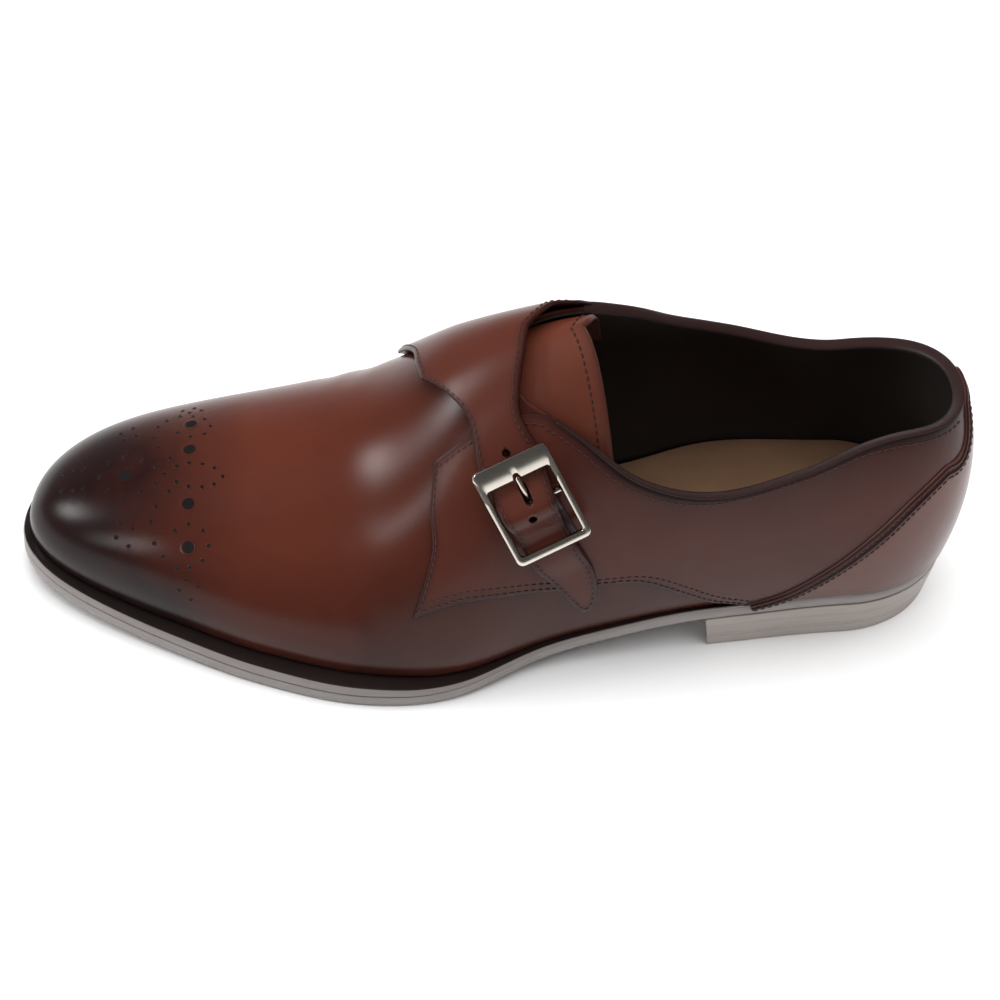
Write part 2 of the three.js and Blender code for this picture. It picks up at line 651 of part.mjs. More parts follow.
// The strap climbs over the centre bar and lies on the chape behind it
function strapRise(p) {
  if (p.u < QUARTER_LINES + 2 || p.across > 0) return 0
  const { x } = place(p.at, p.across, 0).applyMatrix4(toBuckle)
  const onChape = THREE.MathUtils.smoothstep(x, -BAR_CLEAR, BAR_CLEAR)
    * (1 - THREE.MathUtils.smoothstep(x, CHAPE_LONG + GAP, CHAPE_LONG + HUMP_REACH))
  const hump = Math.abs(x) < HUMP_REACH ? (1 + Math.cos(Math.PI * x / HUMP_REACH)) / 2 : 0
  return (CHAPE + 2 * GAP) * onChape + STRAP_HUMP * hump
}

function box(x0, x1, y0, y1, z0, z1) {
  const geometry = new THREE.BoxGeometry(x1 - x0, y1 - y0, z1 - z0)
  return geometry.translate((x0 + x1) / 2, (y0 + y1) / 2, (z0 + z1) / 2)
}
function pin(x, y, radius, z0, z1) {
  const geometry = new THREE.CylinderGeometry(radius, radius, z1 - z0, 16)
  return geometry.rotateX(Math.PI / 2).translate(x, y, (z0 + z1) / 2)
}
const cut = (solid, ...cutters) => cutters.reduce((kept, cutter) => kept.subtract(toSolid(cutter)), solid)

function medialQuarter() {
  const grid = patchGrid(MEDIAL_QUARTER, 1, 10, { back: counterBorder(1), fade: QUARTER_LINES })
  const value = (p, name) => through(MEDIAL_QUARTER, name, p.u)
  const under = (p) => value(p, 'lift') + strapRise(p)
  const over = (p) => under(p) + value(p, 'thick')
  const holes = [
    pin(HOLE_USED - HOLE_PITCH, 0, HOLE / 2, -HOLE_DEEP, HOLE_DEEP),
    pin(HOLE_USED + HOLE_PITCH, HOLE_ASIDE, HOLE / 2, -HOLE_DEEP, HOLE_DEEP),
    box(SLOT_FROM, SLOT_TO, -HOLE / 2, HOLE / 2, -HOLE_DEEP, HOLE_DEEP),
  ].map((cutter) => cutter.applyMatrix4(buckleFrame))
  return fromSolid(cut(trimmed(leather(grid, under, over)), ...holes))
}

// The tongue lies inside the upper, under the strap
function tongue() {
  const rows = 12
  const cols = 12
  const top = -(WALL + LINING_GAP)
  const grid = Array.from({ length: rows + 1 }, (_, i) => Array.from({ length: cols + 1 }, (_, j) => {
    const u = i / rows
    const across = (2 * j / cols - 1) * lerp(TONGUE_FRONT.half, TONGUE_REAR.half, u)
    const rear = TONGUE_REAR.at - TONGUE_REAR.bow * Math.abs(across) / TONGUE_REAR.half
    return { at: lerp(TONGUE_FRONT.at, rear, u), across }
  }))
  return leather(grid, () => top - TONGUE, () => top)
}

// Rounded rectangle as a path, from corner to corner
function roundedRectangle(path, x0, x1, y0, y1, r) {
  path.moveTo(x0 + r, y0)
  path.lineTo(x1 - r, y0)
  path.absarc(x1 - r, y0 + r, r, -Math.PI / 2, 0, false)
  path.lineTo(x1, y1 - r)
  path.absarc(x1 - r, y1 - r, r, 0, Math.PI / 2, false)
  path.lineTo(x0 + r, y1)
  path.absarc(x0 + r, y1 - r, r, Math.PI / 2, Math.PI, false)
  path.lineTo(x0, y0 + r)
  path.absarc(x0 + r, y0 + r, r, Math.PI, 1.5 * Math.PI, false)
  return path
}

function buckle() {
  const [long, wide] = [BUCKLE_LONG / 2, BUCKLE_WIDE / 2]
  const shape = roundedRectangle(new THREE.Shape(), -long, long, -wide, wide, BUCKLE_CORNER)
  shape.holes.push(roundedRectangle(new THREE.Path(), TOP_BAR - long, long - END_BAR,
    RAIL - wide, wide - RAIL, BUCKLE_CORNER / 2))
  const frame = new THREE.ExtrudeGeometry(shape, {
    depth: BUCKLE_THICK - 2 * BUCKLE_BEVEL,
    bevelThickness: BUCKLE_BEVEL,
    bevelSize: BUCKLE_BEVEL,
    bevelOffset: -BUCKLE_BEVEL,
    bevelSegments: 1,
    curveSegments: 4,
  }).translate(0, 0, BUCKLE_RISE + BUCKLE_BEVEL)
  const room = PRONG / 2 + GAP
  const floor = TOP_BAR - long - NOTCH_DEPTH + room
  const [under, over] = [BUCKLE_RISE - BUCKLE_THICK, BUCKLE_RISE + 2 * BUCKLE_THICK]
  const notch = toSolid(pin(floor, 0, room, under, over))
    .add(toSolid(box(floor, floor + NOTCH_DEPTH, -room, room, under, over)))
  const bar = new THREE.CylinderGeometry(CENTRE_BAR / 2, CENTRE_BAR / 2, BUCKLE_WIDE - RAIL, 16)
    .translate(0, 0, CENTRE_BAR_RISE)
  return fromSolid(toSolid(frame).subtract(notch).add(toSolid(bar))).applyMatrix4(buckleFrame)
}

// A ring round the centre bar, as long as it is wide across the strap
function barRing(radius, width) {
  const shape = new THREE.Shape().absarc(0, 0, radius, 0, 2 * Math.PI, false)
  shape.holes.push(new THREE.Path().absarc(0, 0, CENTRE_BAR / 2 + GAP, 0, 2 * Math.PI, true))
  return new THREE.ExtrudeGeometry(shape, { depth: width, bevelEnabled: false, curveSegments: 10 })
    .rotateX(Math.PI / 2)
    .translate(0, width / 2, CENTRE_BAR_RISE)
}

function prong() {
  const ring = barRing(CENTRE_BAR / 2 + GAP + CHAPE, PRONG)
  const start = new THREE.Vector3(-CENTRE_BAR / 2, 0, CENTRE_BAR_RISE + CENTRE_BAR / 2)
  const tip = new THREE.Vector3(TOP_BAR - BUCKLE_LONG / 2 - NOTCH_DEPTH + PRONG / 2 + GAP, 0,
    BUCKLE_RISE + BUCKLE_THICK / 2 + GAP)
  const run = tip.clone().sub(start)
  const turn = new THREE.Quaternion()
    .setFromUnitVectors(new THREE.Vector3(0, 1, 0), run.clone().normalize())
  const shaft = new THREE.CapsuleGeometry(PRONG / 2, run.length(), 4, 12)
    .applyQuaternion(turn)
    .translate((start.x + tip.x) / 2, 0, (start.z + tip.z) / 2)
  const hollow = new THREE.CylinderGeometry(CENTRE_BAR / 2 + GAP, CENTRE_BAR / 2 + GAP, 2 * PRONG, 40)
    .translate(0, 0, CENTRE_BAR_RISE)
  return fromSolid(cut(toSolid(ring).add(toSolid(shaft)), hollow)).applyMatrix4(buckleFrame)
}

// The chape holds the centre bar: a loop round it with a tail on the quarter
function chape() {
  const rise = ON_QUARTER
  const rows = 8
  const cols = 4
  const layer = (lift) => Array.from({ length: rows + 1 }, (_, i) =>
    Array.from({ length: cols + 1 }, (_, j) => {
      const x = CHAPE_LONG * i / rows
      const y = CHAPE_WIDE * (j / cols - 0.5)
      return new THREE.Vector3(x, y, skinUnder(x, y) + lift)
    }))
  const tail = toSolid(slab(layer(rise + CHAPE), layer(rise)))
  const loop = toSolid(barRing(CENTRE_BAR / 2 + GAP + CHAPE, CHAPE_WIDE))
  const slot = box(-SLOT_LONG, SLOT_LONG, -SLOT_WIDE / 2, SLOT_WIDE / 2, -HOLE_DEEP, HOLE_DEEP)
  return fromSolid(cut(tail.add(loop), slot)).applyMatrix4(buckleFrame)
}

// Materials
const finish = (colour, roughness, metalness = 0) =>
  new THREE.MeshStandardMaterial({ color: colour, roughness, metalness })
const vampLeather = finish(0x6b3323, 0.38)
const quarterLeather = finish(0x54282c, 0.38)
const tongueLeather = finish(0x93683f, 0.6)
const soleLeather = finish(0x8a8076, 0.6)
const weltLeather = finish(0x1c1614, 0.35)
const heelLeather = finish(0x857a70, 0.6)
const liftRubber = finish(0x3a3633, 0.8)
const insoleLeather = finish(0xb08a5c, 0.7)
const chapeLeather = finish(0x2b1817, 0.5)
const nickel = finish(0xc9c6c0, 0.22, 1)

function piece(name, geometry, material) {
  const mesh = new THREE.Mesh(geometry, material)
  geometry.computeVertexNormals()
  mesh.name = name
  return mesh
}
function group(name, ...children) {
  const node = new THREE.Group()
  node.name = name
  node.add(...children)
  return node
}

const shoe = group('monk_strap_shoe',
  group('upper_group',
    piece('upper', upper(), vampLeather),
    piece('counter', counter(), quarterLeather),
    piece('lateral_quarter', lateralQuarter(), quarterLeather),
    piece('medial_quarter_strap', medialQuarter(), quarterLeather),
    piece('tongue', tongue(), tongueLeather)),
  group('sole_group',
    piece('outsole', outsole(), soleLeather),
    piece('welt', welt(), weltLeather),
    piece('insole', insole(), insoleLeather),
    piece('heel_block', heelBlock(), heelLeather),
    piece('heel_lift', heelLift(), liftRubber)),
  group('buckle_group',
    piece('buckle_frame', buckle(), nickel),
    piece('buckle_prong', prong(), nickel),
    piece('chape', chape(), chapeLeather)))

// Origin to the floor under the middle of the outline
const bounds = new THREE.Box3().setFromObject(shoe, true)
const centre = bounds.getCenter(new THREE.Vector3())
shoe.traverse((node) => {
  if (node.isMesh) node.geometry.translate(-centre.x, -centre.y, -bounds.min.z)
})

export default shoe
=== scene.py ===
"""Monk strap shoe, left foot: fine leather pieces laid on the same last as the solid parts."""
import bmesh
import bpy
import numpy as np
from mathutils import Matrix, Vector


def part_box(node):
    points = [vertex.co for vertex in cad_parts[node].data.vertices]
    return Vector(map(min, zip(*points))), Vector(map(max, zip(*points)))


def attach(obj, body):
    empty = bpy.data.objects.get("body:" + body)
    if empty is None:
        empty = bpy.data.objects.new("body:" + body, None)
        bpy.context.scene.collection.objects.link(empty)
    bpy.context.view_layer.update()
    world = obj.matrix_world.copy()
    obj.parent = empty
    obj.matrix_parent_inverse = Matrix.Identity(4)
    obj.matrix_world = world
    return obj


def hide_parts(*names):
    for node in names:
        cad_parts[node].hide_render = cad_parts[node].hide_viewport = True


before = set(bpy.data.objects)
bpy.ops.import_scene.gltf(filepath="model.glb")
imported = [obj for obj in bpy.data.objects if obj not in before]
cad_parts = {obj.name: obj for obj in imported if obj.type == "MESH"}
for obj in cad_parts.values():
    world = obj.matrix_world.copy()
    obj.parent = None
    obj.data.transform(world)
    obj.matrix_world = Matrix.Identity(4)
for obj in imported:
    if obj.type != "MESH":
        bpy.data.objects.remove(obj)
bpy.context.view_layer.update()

# Sizes of the last and the leathers, in millimetres, as in the solid parts
LAST_LENGTH, BALL_WIDTH, INSTEP_HEIGHT = 296.0, 97.0, 98.0
TOE_SPRING, TOE_SWING = 6.0, 2.0
OUTSOLE, WELT, WELT_INSIDE = 4.7, 3.8, 7.0
HEEL_HEIGHT, HEEL_PITCH, HEEL_LIFT, HEEL_TAPER = 17.5, 1.5, 5.0, 1.5
BREAST_AT, BREAST_SLANT, NOTCH_LONG, NOTCH_WIDE = 0.277, 3.0, 7.0, 10.0
TREAD_FROM, TREAD_TO = 0.6, 0.68
GAP, OVERLAY_GAP, LINING_GAP = 0.3, 0.4, 0.8
WALL, QUARTER, COUNTER, TONGUE, STRAP, INSOLE = 2.2, 1.2, 2.0, 1.6, 2.0, 3.0
THROAT_AT, THROAT_BACK, THROAT_SHARE = 0.535, 0.49, 0.97
BUCKLE_LONG, BUCKLE_WIDE, BUCKLE_CORNER, BUCKLE_THICK, BUCKLE_RISE = 33.5, 24.5, 2.0, 2.0, 5.2
RAIL, TOP_BAR, END_BAR, CENTRE_BAR, CENTRE_BAR_RISE = 1.9, 7.0, 2.6, 2.0, 4.3
PRONG, CHAPE, CHAPE_WIDE, CHAPE_LONG = 1.8, 0.9, 15.0, 19.0
HOLE, HOLE_PITCH, HOLE_USED, HOLE_ASIDE, SLOT_FROM, SLOT_TO = 2.6, 10.0, -6.5, -1.5, -7.4, -1.0
STRAP_HUMP, HUMP_REACH, BAR_CLEAR, NOTCH_DEPTH = 4.6, 10.0, 3.0, 1.9
BUCKLE_TOP, BUCKLE_END = (0.509, -0.381), (0.461, -0.646)
COUNTER_AT, TAB_AT, QUARTER_LAP = 0.243, 0.002, 1.2
GIRTH, SMALL, OUTLINE_ROWS = 110.0, 1e-4, 40


def table(names, rows):
    """A short table as named columns."""
    return dict(zip(names.split(), np.array(rows, float).T))


SECTIONS = table("at lateral medial ridge shift outL riseL crownL outM riseM crownM", [
    (0.00, 0.320, 0.335, 1.120, 0.00, 0.075, 0.65, 0.560, 0.075, 0.65, 0.560),
    (0.12, 0.326, 0.332, 1.145, 0.00, 0.075, 0.49, 0.450, 0.060, 0.43, 0.420),
    (0.25, 0.367, 0.330, 1.175, 0.01, 0.083, 0.48, 0.480, 0.098, 0.53, 0.490),
    (0.35, 0.405, 0.255, 1.205, 0.02, 0.080, 0.47, 0.480, 0.126, 0.66, 0.520),
    (0.45, 0.450, 0.230, 1.140, 0.03, 0.053, 0.445, 0.470, 0.150, 0.76, 0.545),
    (0.55, 0.543, 0.330, 0.960, 0.04, 0.041, 0.41, 0.455, 0.136, 0.79, 0.565),
    (0.65, 0.543, 0.440, 0.685, 0.04, 0.048, 0.41, 0.460, 0.088, 0.75, 0.550),
    (0.75, 0.468, 0.452, 0.555, 0.03, 0.060, 0.50, 0.500, 0.073, 0.72, 0.560),
    (0.85, 0.380, 0.420, 0.490, 0.02, 0.055, 0.58, 0.560, 0.073, 0.70, 0.610),
    (0.93, 0.335, 0.420, 0.415, 0.02, 0.050, 0.57, 0.600, 0.070, 0.64, 0.625),
    (1.00, 0.320, 0.440, 0.370, 0.02, 0.050, 0.54, 0.615, 0.050, 0.54, 0.615),
])
TOPLINE = table("at lateral medial", [
    (0.00, 0.888, 0.888), (0.08, 0.900, 0.82), (0.20, 0.795, 0.795), (0.30, 0.748, 0.90),
    (0.38, 0.816, 1.02), (0.44, 0.930, 1.08), (0.50, 0.990, 1.06), (0.54, 0.990, 1.00),
])
WELT_FADE = table("at share", [(0, 0.25), (0.27, 0.25), (0.4, 0.3), (0.52, 0.62), (0.62, 1), (1, 1)])
MARGINS = table("at margin", [(0, 1.3), (0.22, 1.3), (0.38, 1.6), (0.48, 2.2), (0.6, 5), (0.8, 5), (1, 3.2)])
COUNTER_LINE = table("at share", [
    (0, 1), (TAB_AT, 1), (0.013, 0.79), (0.039, 0.73), (0.079, 0.6), (0.124, 0.4), (0.162, 0.24),
    (0.2, 0.09), (COUNTER_AT, 0),
])
HEEL_CAP, TOE_CAP = (0.115, 1.9, 2.1), (0.7, 2.6, 2.0)
RIDGE_BACK, RIDGE_FRONT = (0.3, 0.137), (0.72, 0.875)


def smooth(rows, name, at):
    """Smooth curve through one column of a table."""
    x, y = rows["at"], rows[name]
    last = len(x) - 1
    s = np.clip(np.asarray(at, float), x[0], x[last])
    step = np.diff(x)
    rise = np.diff(y) / step
    slope = np.empty(last + 1)
    slope[0], slope[last] = rise[0], rise[-1]
    slope[1:last] = (rise[:-1] * step[1:] + rise[1:] * step[:-1]) / (step[:-1] + step[1:])
    i = np.clip(np.searchsorted(x, s, "left") - 1, 0, last - 1)
    h = step[i]
    t = (s - x[i]) / h
    return ((1 + 2 * t) * (1 - t) ** 2 * y[i] + t * (1 - t) ** 2 * h * slope[i]
            + t * t * (3 - 2 * t) * y[i + 1] + t * t * (t - 1) * h * slope[i + 1])


def by_side(side, lateral, medial):
    return np.where(np.asarray(side) < 0, lateral, medial)


def along(at):
    return (0.5 - at) * LAST_LENGTH


def cap(at):
    """How far the outline closes in towards the heel and the toe."""
    back = np.clip(1 - at / HEEL_CAP[0], 0, 1)
    front = np.clip((at - TOE_CAP[0]) / (1 - TOE_CAP[0]), 0, 1)
    return (np.maximum(1 - back ** HEEL_CAP[1], 0) ** (1 / HEEL_CAP[2])
            * np.maximum(1 - front ** TOE_CAP[1], 0) ** (1 / TOE_CAP[2]))


def toe_swing(at):
    return TOE_SWING * np.clip((at - TOE_CAP[0]) / (1 - TOE_CAP[0]), 0, 1) ** 2


def underside(at):
    """Height of the outsole's underside: heel seat, arch, tread and toe spring."""
    at = np.asarray(at, float)
    heel = HEEL_HEIGHT - HEEL_PITCH * at / BREAST_AT
    t = np.clip((at - BREAST_AT) / (TREAD_FROM - BREAST_AT), 0, 1)
    slope = -2 * HEEL_PITCH / BREAST_AT * (TREAD_FROM - BREAST_AT)
    arch = (1 + 2 * t) * (1 - t) ** 2 * (HEEL_HEIGHT - HEEL_PITCH) + t * (1 - t) ** 2 * slope
    toe = TOE_SPRING * np.maximum((at - TREAD_TO) / (1 - TREAD_TO), 0) ** 1.9
    return np.where(at <= BREAST_AT, heel, np.where(at <= TREAD_FROM, arch, toe))


def welt_top(at):
    return underside(at) + OUTSOLE + GAP + WELT * smooth(WELT_FADE, "share", at)


def seat(at):
    return welt_top(at) + GAP


def round_ends(at, side):
    """Past the heel or the toe the outline goes on along the other side."""
    at, side = np.broadcast_arrays(np.asarray(at, float), np.asarray(side, float))
    past = (at < 0) | (at > 1)
    return np.where(at < 0, -at, np.where(at > 1, 2 - at, at)), np.where(past, -side, side)


def feather(at, side):
    """Plan point of the feather edge, where the upper meets the welt."""
    at, side = round_ends(at, side)
    width = by_side(side, smooth(SECTIONS, "lateral", at), smooth(SECTIONS, "medial", at))
    return np.stack([along(at), toe_swing(at) + side * width * BALL_WIDTH * cap(at)], -1)


def outward(at, side):
    """Plan direction pointing out of the feather edge."""
    step = feather(at + SMALL, side) - feather(at - SMALL, side)
    out = np.stack([step[..., 1], -step[..., 0]], -1) * np.asarray(side, float)[..., None]
    return out / np.linalg.norm(out, axis=-1, keepdims=True)


def inset(at, side, depth):
    at, side = np.broadcast_arrays(np.asarray(at, float), np.asarray(side, float))
    depth = np.broadcast_to(np.asarray(depth, float), at.shape)
    return feather(at, side) - outward(at, side) * depth[..., None]


def edge(at, side, depth=0.0):
    return inset(at, side, depth - smooth(MARGINS, "margin", at))


def stations(count, to=1.0):
    """Stations spread evenly along the plan outline, heel first, the same on both sides."""
    share = to * (1 - np.cos(np.pi * np.arange(1501) / 1500)) / 2
    run = np.zeros(1501)
    for side in (-1, 1):
        line = feather(share, np.full(1501, side))
        run[1:] += np.cumsum(np.linalg.norm(np.diff(line, axis=0), axis=1))
    return np.clip(np.interp(np.linspace(0, run[-1], count + 1), run, share), 0, to)


def ridge_at(at):
    """Where a profile meets the ridge: the profiles fan round at both ends."""
    span = 1 - RIDGE_FRONT[0]
    kept = RIDGE_FRONT[1] - RIDGE_FRONT[0]
    t = np.clip((at - RIDGE_FRONT[0]) / span, 0, 1)
    front = RIDGE_FRONT[0] + kept * (1 - (1 - t) ** (span / kept))
    kept = RIDGE_BACK[0] - RIDGE_BACK[1]
    t = np.clip((RIDGE_BACK[0] - at) / RIDGE_BACK[0], 0, 1)
    back = RIDGE_BACK[0] - kept * (1 - (1 - t) ** (RIDGE_BACK[0] / kept))
    return np.where(at > RIDGE_FRONT[0], front, np.where(at < RIDGE_BACK[0], back, at))


def ridge_slope(at):
    fall = smooth(SECTIONS, "ridge", at - SMALL) - smooth(SECTIONS, "ridge", at + SMALL)
    return fall * INSTEP_HEIGHT / (2 * SMALL * LAST_LENGTH)


def profile(at, side, share):
    """Point at a share of the cubic profile from the feather edge up to the ridge."""
    at, side = round_ends(at, side)
    foot, out, top = feather(at, side), outward(at, side), ridge_at(at)
    ridge = np.stack([along(top), smooth(SECTIONS, "shift", top) * BALL_WIDTH + toe_swing(top),
                      smooth(SECTIONS, "ridge", top) * INSTEP_HEIGHT], -1)
    low = np.concatenate([foot, seat(at)[..., None]], -1)
    inward = ridge[..., :2] - foot
    pick = lambda name: by_side(side, smooth(SECTIONS, name + "L", at), smooth(SECTIONS, name + "M", at))
    lower = low + np.concatenate([out * (pick("out") * BALL_WIDTH)[..., None],
                                  (pick("rise") * (ridge[..., 2] - low[..., 2]))[..., None]], -1)
    lean = inward * pick("crown")[..., None]
    upper = ridge - np.concatenate([lean, (ridge_slope(top) * lean[..., 0])[..., None]], -1)
    t = np.asarray(share, float)[..., None]
    return ((1 - t) ** 3 * low + 3 * (1 - t) ** 2 * t * lower + 3 * (1 - t) * t * t * upper + t ** 3 * ridge)


def topline_share(at, side):
    """Share of a profile at which it reaches the topline."""
    at, side = np.broadcast_arrays(np.asarray(at, float), np.asarray(side, float))
    back = np.minimum(at, THROAT_BACK)
    height = by_side(side, smooth(TOPLINE, "lateral", back), smooth(TOPLINE, "medial", back)) * INSTEP_HEIGHT
    low, high = np.zeros(at.shape), np.full(at.shape, THROAT_SHARE)
    for _ in range(26):
        mid = (low + high) / 2
        under = profile(back, side, mid)[..., 2] < height
        low, high = np.where(under, mid, low), np.where(under, high, mid)
    share = low + (THROAT_SHARE - low) * (at - back) / (THROAT_AT - THROAT_BACK)
    return np.where(at >= THROAT_AT, 1.0, share)


# Creases pressed into the leather by wear: where each one runs (along and across the
# last), how long and wide it is in millimetres and how deep
CREASES = table("at across turn long wide deep", [
    (0.655, -0.62, 68, 34, 5.0, 0.30), (0.690, -0.55, 74, 30, 4.5, 0.24), (0.640, 0.50, 106, 38, 5.0, 0.34),
    (0.676, 0.56, 102, 34, 4.5, 0.28), (0.612, 0.60, 110, 30, 5.0, 0.22), (0.665, -0.05, 90, 46, 6.0, 0.16),
    (0.395, 0.62, 84, 30, 6.0, 0.25), (0.335, 0.66, 80, 26, 5.0, 0.20), (0.300, -0.78, 96, 24, 5.0, 0.20),
])


def crease_lift(at, across):
    """Soft troughs with a low ridge on each side."""
    lift = np.zeros(np.shape(at))
    for i in range(len(CREASES["at"])):
        c = {name: column[i] for name, column in CREASES.items()}
        dx, dy = (at - c["at"]) * LAST_LENGTH, (across - c["across"]) * GIRTH
        turn = np.radians(c["turn"])
        a, b = dx * np.cos(turn) + dy * np.sin(turn), dy * np.cos(turn) - dx * np.sin(turn)
        q = b / c["wide"]
        lift -= c["deep"] * np.exp(-(a / c["long"] * 1.9) ** 2) * (1 - 0.9 * q * q) * np.exp(-q * q)
    return lift


def skin(at, across, lift=0.0):
    """Points of the last's skin lifted along its normal. across runs from -1 at the lateral
    feather edge over 0 at the ridge to +1 at the medial one."""
    at, across, lift = np.broadcast_arrays(*(np.asarray(v, float) for v in (at, across, lift)))
    side = np.where(across < 0, -1.0, 1.0)
    share = 1 - np.abs(across)
    point = profile(at, side, share)
    up = profile(at, side, np.minimum(share + 0.008, 1)) - profile(at, side, np.maximum(share - 0.008, 0))
    run = profile(at + 4e-4, side, share) - profile(at - 4e-4, side, share)
    normal = np.cross(run, up) * side[..., None]
    slope = ridge_slope(ridge_at(at))
    flat = np.stack([-slope, np.zeros_like(slope), np.ones_like(slope)], -1)
    normal = np.where((share > 1 - 1e-3)[..., None], flat, normal)
    normal /= np.linalg.norm(normal, axis=-1, keepdims=True)
    fade = np.clip(share / 0.06, 0, 1)
    point = point + normal * (lift + crease_lift(at, across) * fade)[..., None]
    floor = seat(at)
    point[..., 2] = np.where(share < SMALL, floor, np.maximum(point[..., 2], floor))
    return point


def skin_normal(at, across):
    step = skin(at, across, 1.0) - skin(at, across, 0.0)
    return step / np.linalg.norm(step, axis=-1, keepdims=True)


# Where the solid parts stand: their origin is under the middle of the shoe
outline = np.concatenate([edge(stations(OUTLINE_ROWS), side) for side in (-1, 1)])
sole_low, sole_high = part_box("outsole")
ORIGIN = np.array([
    (sole_low[0] + sole_high[0]) * 500 - (outline[:, 0].min() + outline[:, 0].max()) / 2,
    (sole_low[1] + sole_high[1]) * 500 - (outline[:, 1].min() + outline[:, 1].max()) / 2, 0.0])


def to_metres(points):
    return (np.asarray(points, float) + ORIGIN) / 1000


# Meshes
def make(name, points, faces, material, slot, tone=None, edges=None, strip=None, sharp=None):
    """A smooth mesh from points in millimetres, riding on the shoe."""
    mesh = bpy.data.meshes.new(name)
    mesh.from_pydata(to_metres(points).tolist(), [], [list(map(int, f)) for f in faces])
    for label, values in (("tone", tone), ("border", edges), ("strip", strip)):
        if values is not None:
            layer = mesh.attributes.new(label, "FLOAT", "POINT")
            layer.data.foreach_set("value", np.asarray(values, np.float32).ravel())
    mesh.materials.append(material)
    mesh.polygons.foreach_set("use_smooth", [True] * len(mesh.polygons))
    piece = bpy.data.objects.new(name, mesh)
    bpy.context.scene.collection.objects.link(piece)
    work = bmesh.new()
    work.from_mesh(mesh)
    bmesh.ops.remove_doubles(work, verts=work.verts, dist=2e-6)
    bmesh.ops.dissolve_degenerate(work, dist=1e-7, edges=work.edges)
    bmesh.ops.recalc_face_normals(work, faces=work.faces)
    if sharp:
        for line in work.edges:
            if len(line.link_faces) == 2 and line.calc_face_angle(0) > np.radians(sharp):
                line.smooth = False
    work.to_mesh(mesh)
    work.free()
    if slot:
        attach(piece, "root")
    return piece


def quads(rows, cols, base=0, turn_rows=False, turn_cols=False, flip=False):
    """Faces of a grid, closed round in either direction if asked."""
    i, j = np.meshgrid(np.arange(rows - (not turn_rows)), np.arange(cols - (not turn_cols)), indexing="ij")
    k, m = (i + 1) % rows, (j + 1) % cols
    found = np.stack([i * cols + j, k * cols + j, k * cols + m, i * cols + m], -1).reshape(-1, 4) + base
    return found[:, ::-1] if flip else found


def slab_faces(rows, cols, turn_rows=False):
    """Faces of a closed slab between two grids stored one after the other."""
    base = rows * cols
    found = [quads(rows, cols, turn_rows=turn_rows), quads(rows, cols, base, turn_rows=turn_rows, flip=True)]
    i = np.arange(rows - (not turn_rows))
    k = (i + 1) % rows
    for j in (0, cols - 1):
        found.append(np.stack([i * cols + j, base + i * cols + j, base + k * cols + j, k * cols + j], -1))
    if not turn_rows:
        j = np.arange(cols - 1)
        for i in (0, rows - 1):
            near = i * cols + j
            found.append(np.stack([near, near + 1, base + near + 1, base + near], -1))
    return np.concatenate(found)


def borders(points):
    """Distance of each grid point from the border of its patch, in millimetres."""
    def run(p):
        steps = np.linalg.norm(np.diff(p, axis=0), axis=-1)
        total = np.concatenate([np.zeros((1,) + steps.shape[1:]), np.cumsum(steps, 0)])
        return np.minimum(total, total[-1] - total)
    return np.minimum(run(points), run(points.swapaxes(0, 1)).T)


def bunched(count, ends=(0.004, 0.012, 0.026)):
    """Shares from 0 to 1, closer together at both ends for a rounded edge."""
    inner = np.linspace(0.05, 0.95, count)
    ends = np.array(ends)
    return np.concatenate([[0], ends, inner, 1 - ends[::-1], [1]])


def leather(name, at, across, under, thick, material, slot, tone=0.0, round_over=0.7, **more):
    """A leather patch on the skin with rounded edges."""
    base = skin(at, across, under)
    away = borders(base)
    q = 1 - np.clip(away / round_over, 0, 1)
    height = thick * (0.45 + 0.55 * np.sqrt(1 - q * q))
    points = np.concatenate([skin(at, across, under + height).reshape(-1, 3), base.reshape(-1, 3)])
    tones = np.broadcast_to(tone, at.shape).ravel()
    return make(name, points, slab_faces(*at.shape), material, slot, tone=np.tile(tones, 2),
                edges=np.tile(away.ravel(), 2), **more)


def tube(name, path, side_way, up_way, wide, high, material, slot, closed=False, segments=10, **more):
    """A rounded band swept along a path; wide and high are its half sizes."""
    turn = np.linspace(0, 2 * np.pi, segments, endpoint=False)
    wide = np.broadcast_to(wide, len(path))[:, None, None]
    high = np.broadcast_to(high, len(path))[:, None, None]
    ring = (path[:, None] + side_way[:, None] * np.cos(turn)[None, :, None] * wide
            + up_way[:, None] * np.sin(turn)[None, :, None] * high)
    faces = [list(f) for f in quads(len(path), segments, turn_rows=closed, turn_cols=True)]
    if not closed:
        faces += [list(range(segments)), list(range((len(path) - 1) * segments, len(path) * segments))]
    return make(name, ring.reshape(-1, 3), faces, material, slot, **more)


def unit(v):
    return v / np.maximum(np.linalg.norm(v, axis=-1, keepdims=True), 1e-9)


def run_of(path):
    """Length run along a path up to each of its points."""
    return np.concatenate([[0], np.cumsum(np.linalg.norm(np.diff(path, axis=0), axis=1))])


# Materials
class Number:
    """A number inside a material, with ordinary arithmetic."""

    def __init__(self, paint, socket):
        self.paint, self.socket = paint, socket

    def _with(self, operation, first, second=None):
        node = self.paint.tree.nodes.new("ShaderNodeMath")
        node.operation = operation
        for place, value in enumerate([first] if second is None else [first, second]):
            self.paint.feed(node.inputs[place], value)
        return Number(self.paint, node.outputs[0])

    def held(self, low=0.0, high=1.0):
        return self._with("MAXIMUM", self._with("MINIMUM", self, high), low)

    def sine(self):
        return self._with("SINE", self)


def arithmetic(operation, turned=False):
    """One operator of Number, also for a plain number on its left."""
    return lambda self, other: self._with(operation, *((other, self) if turned else (self, other)))


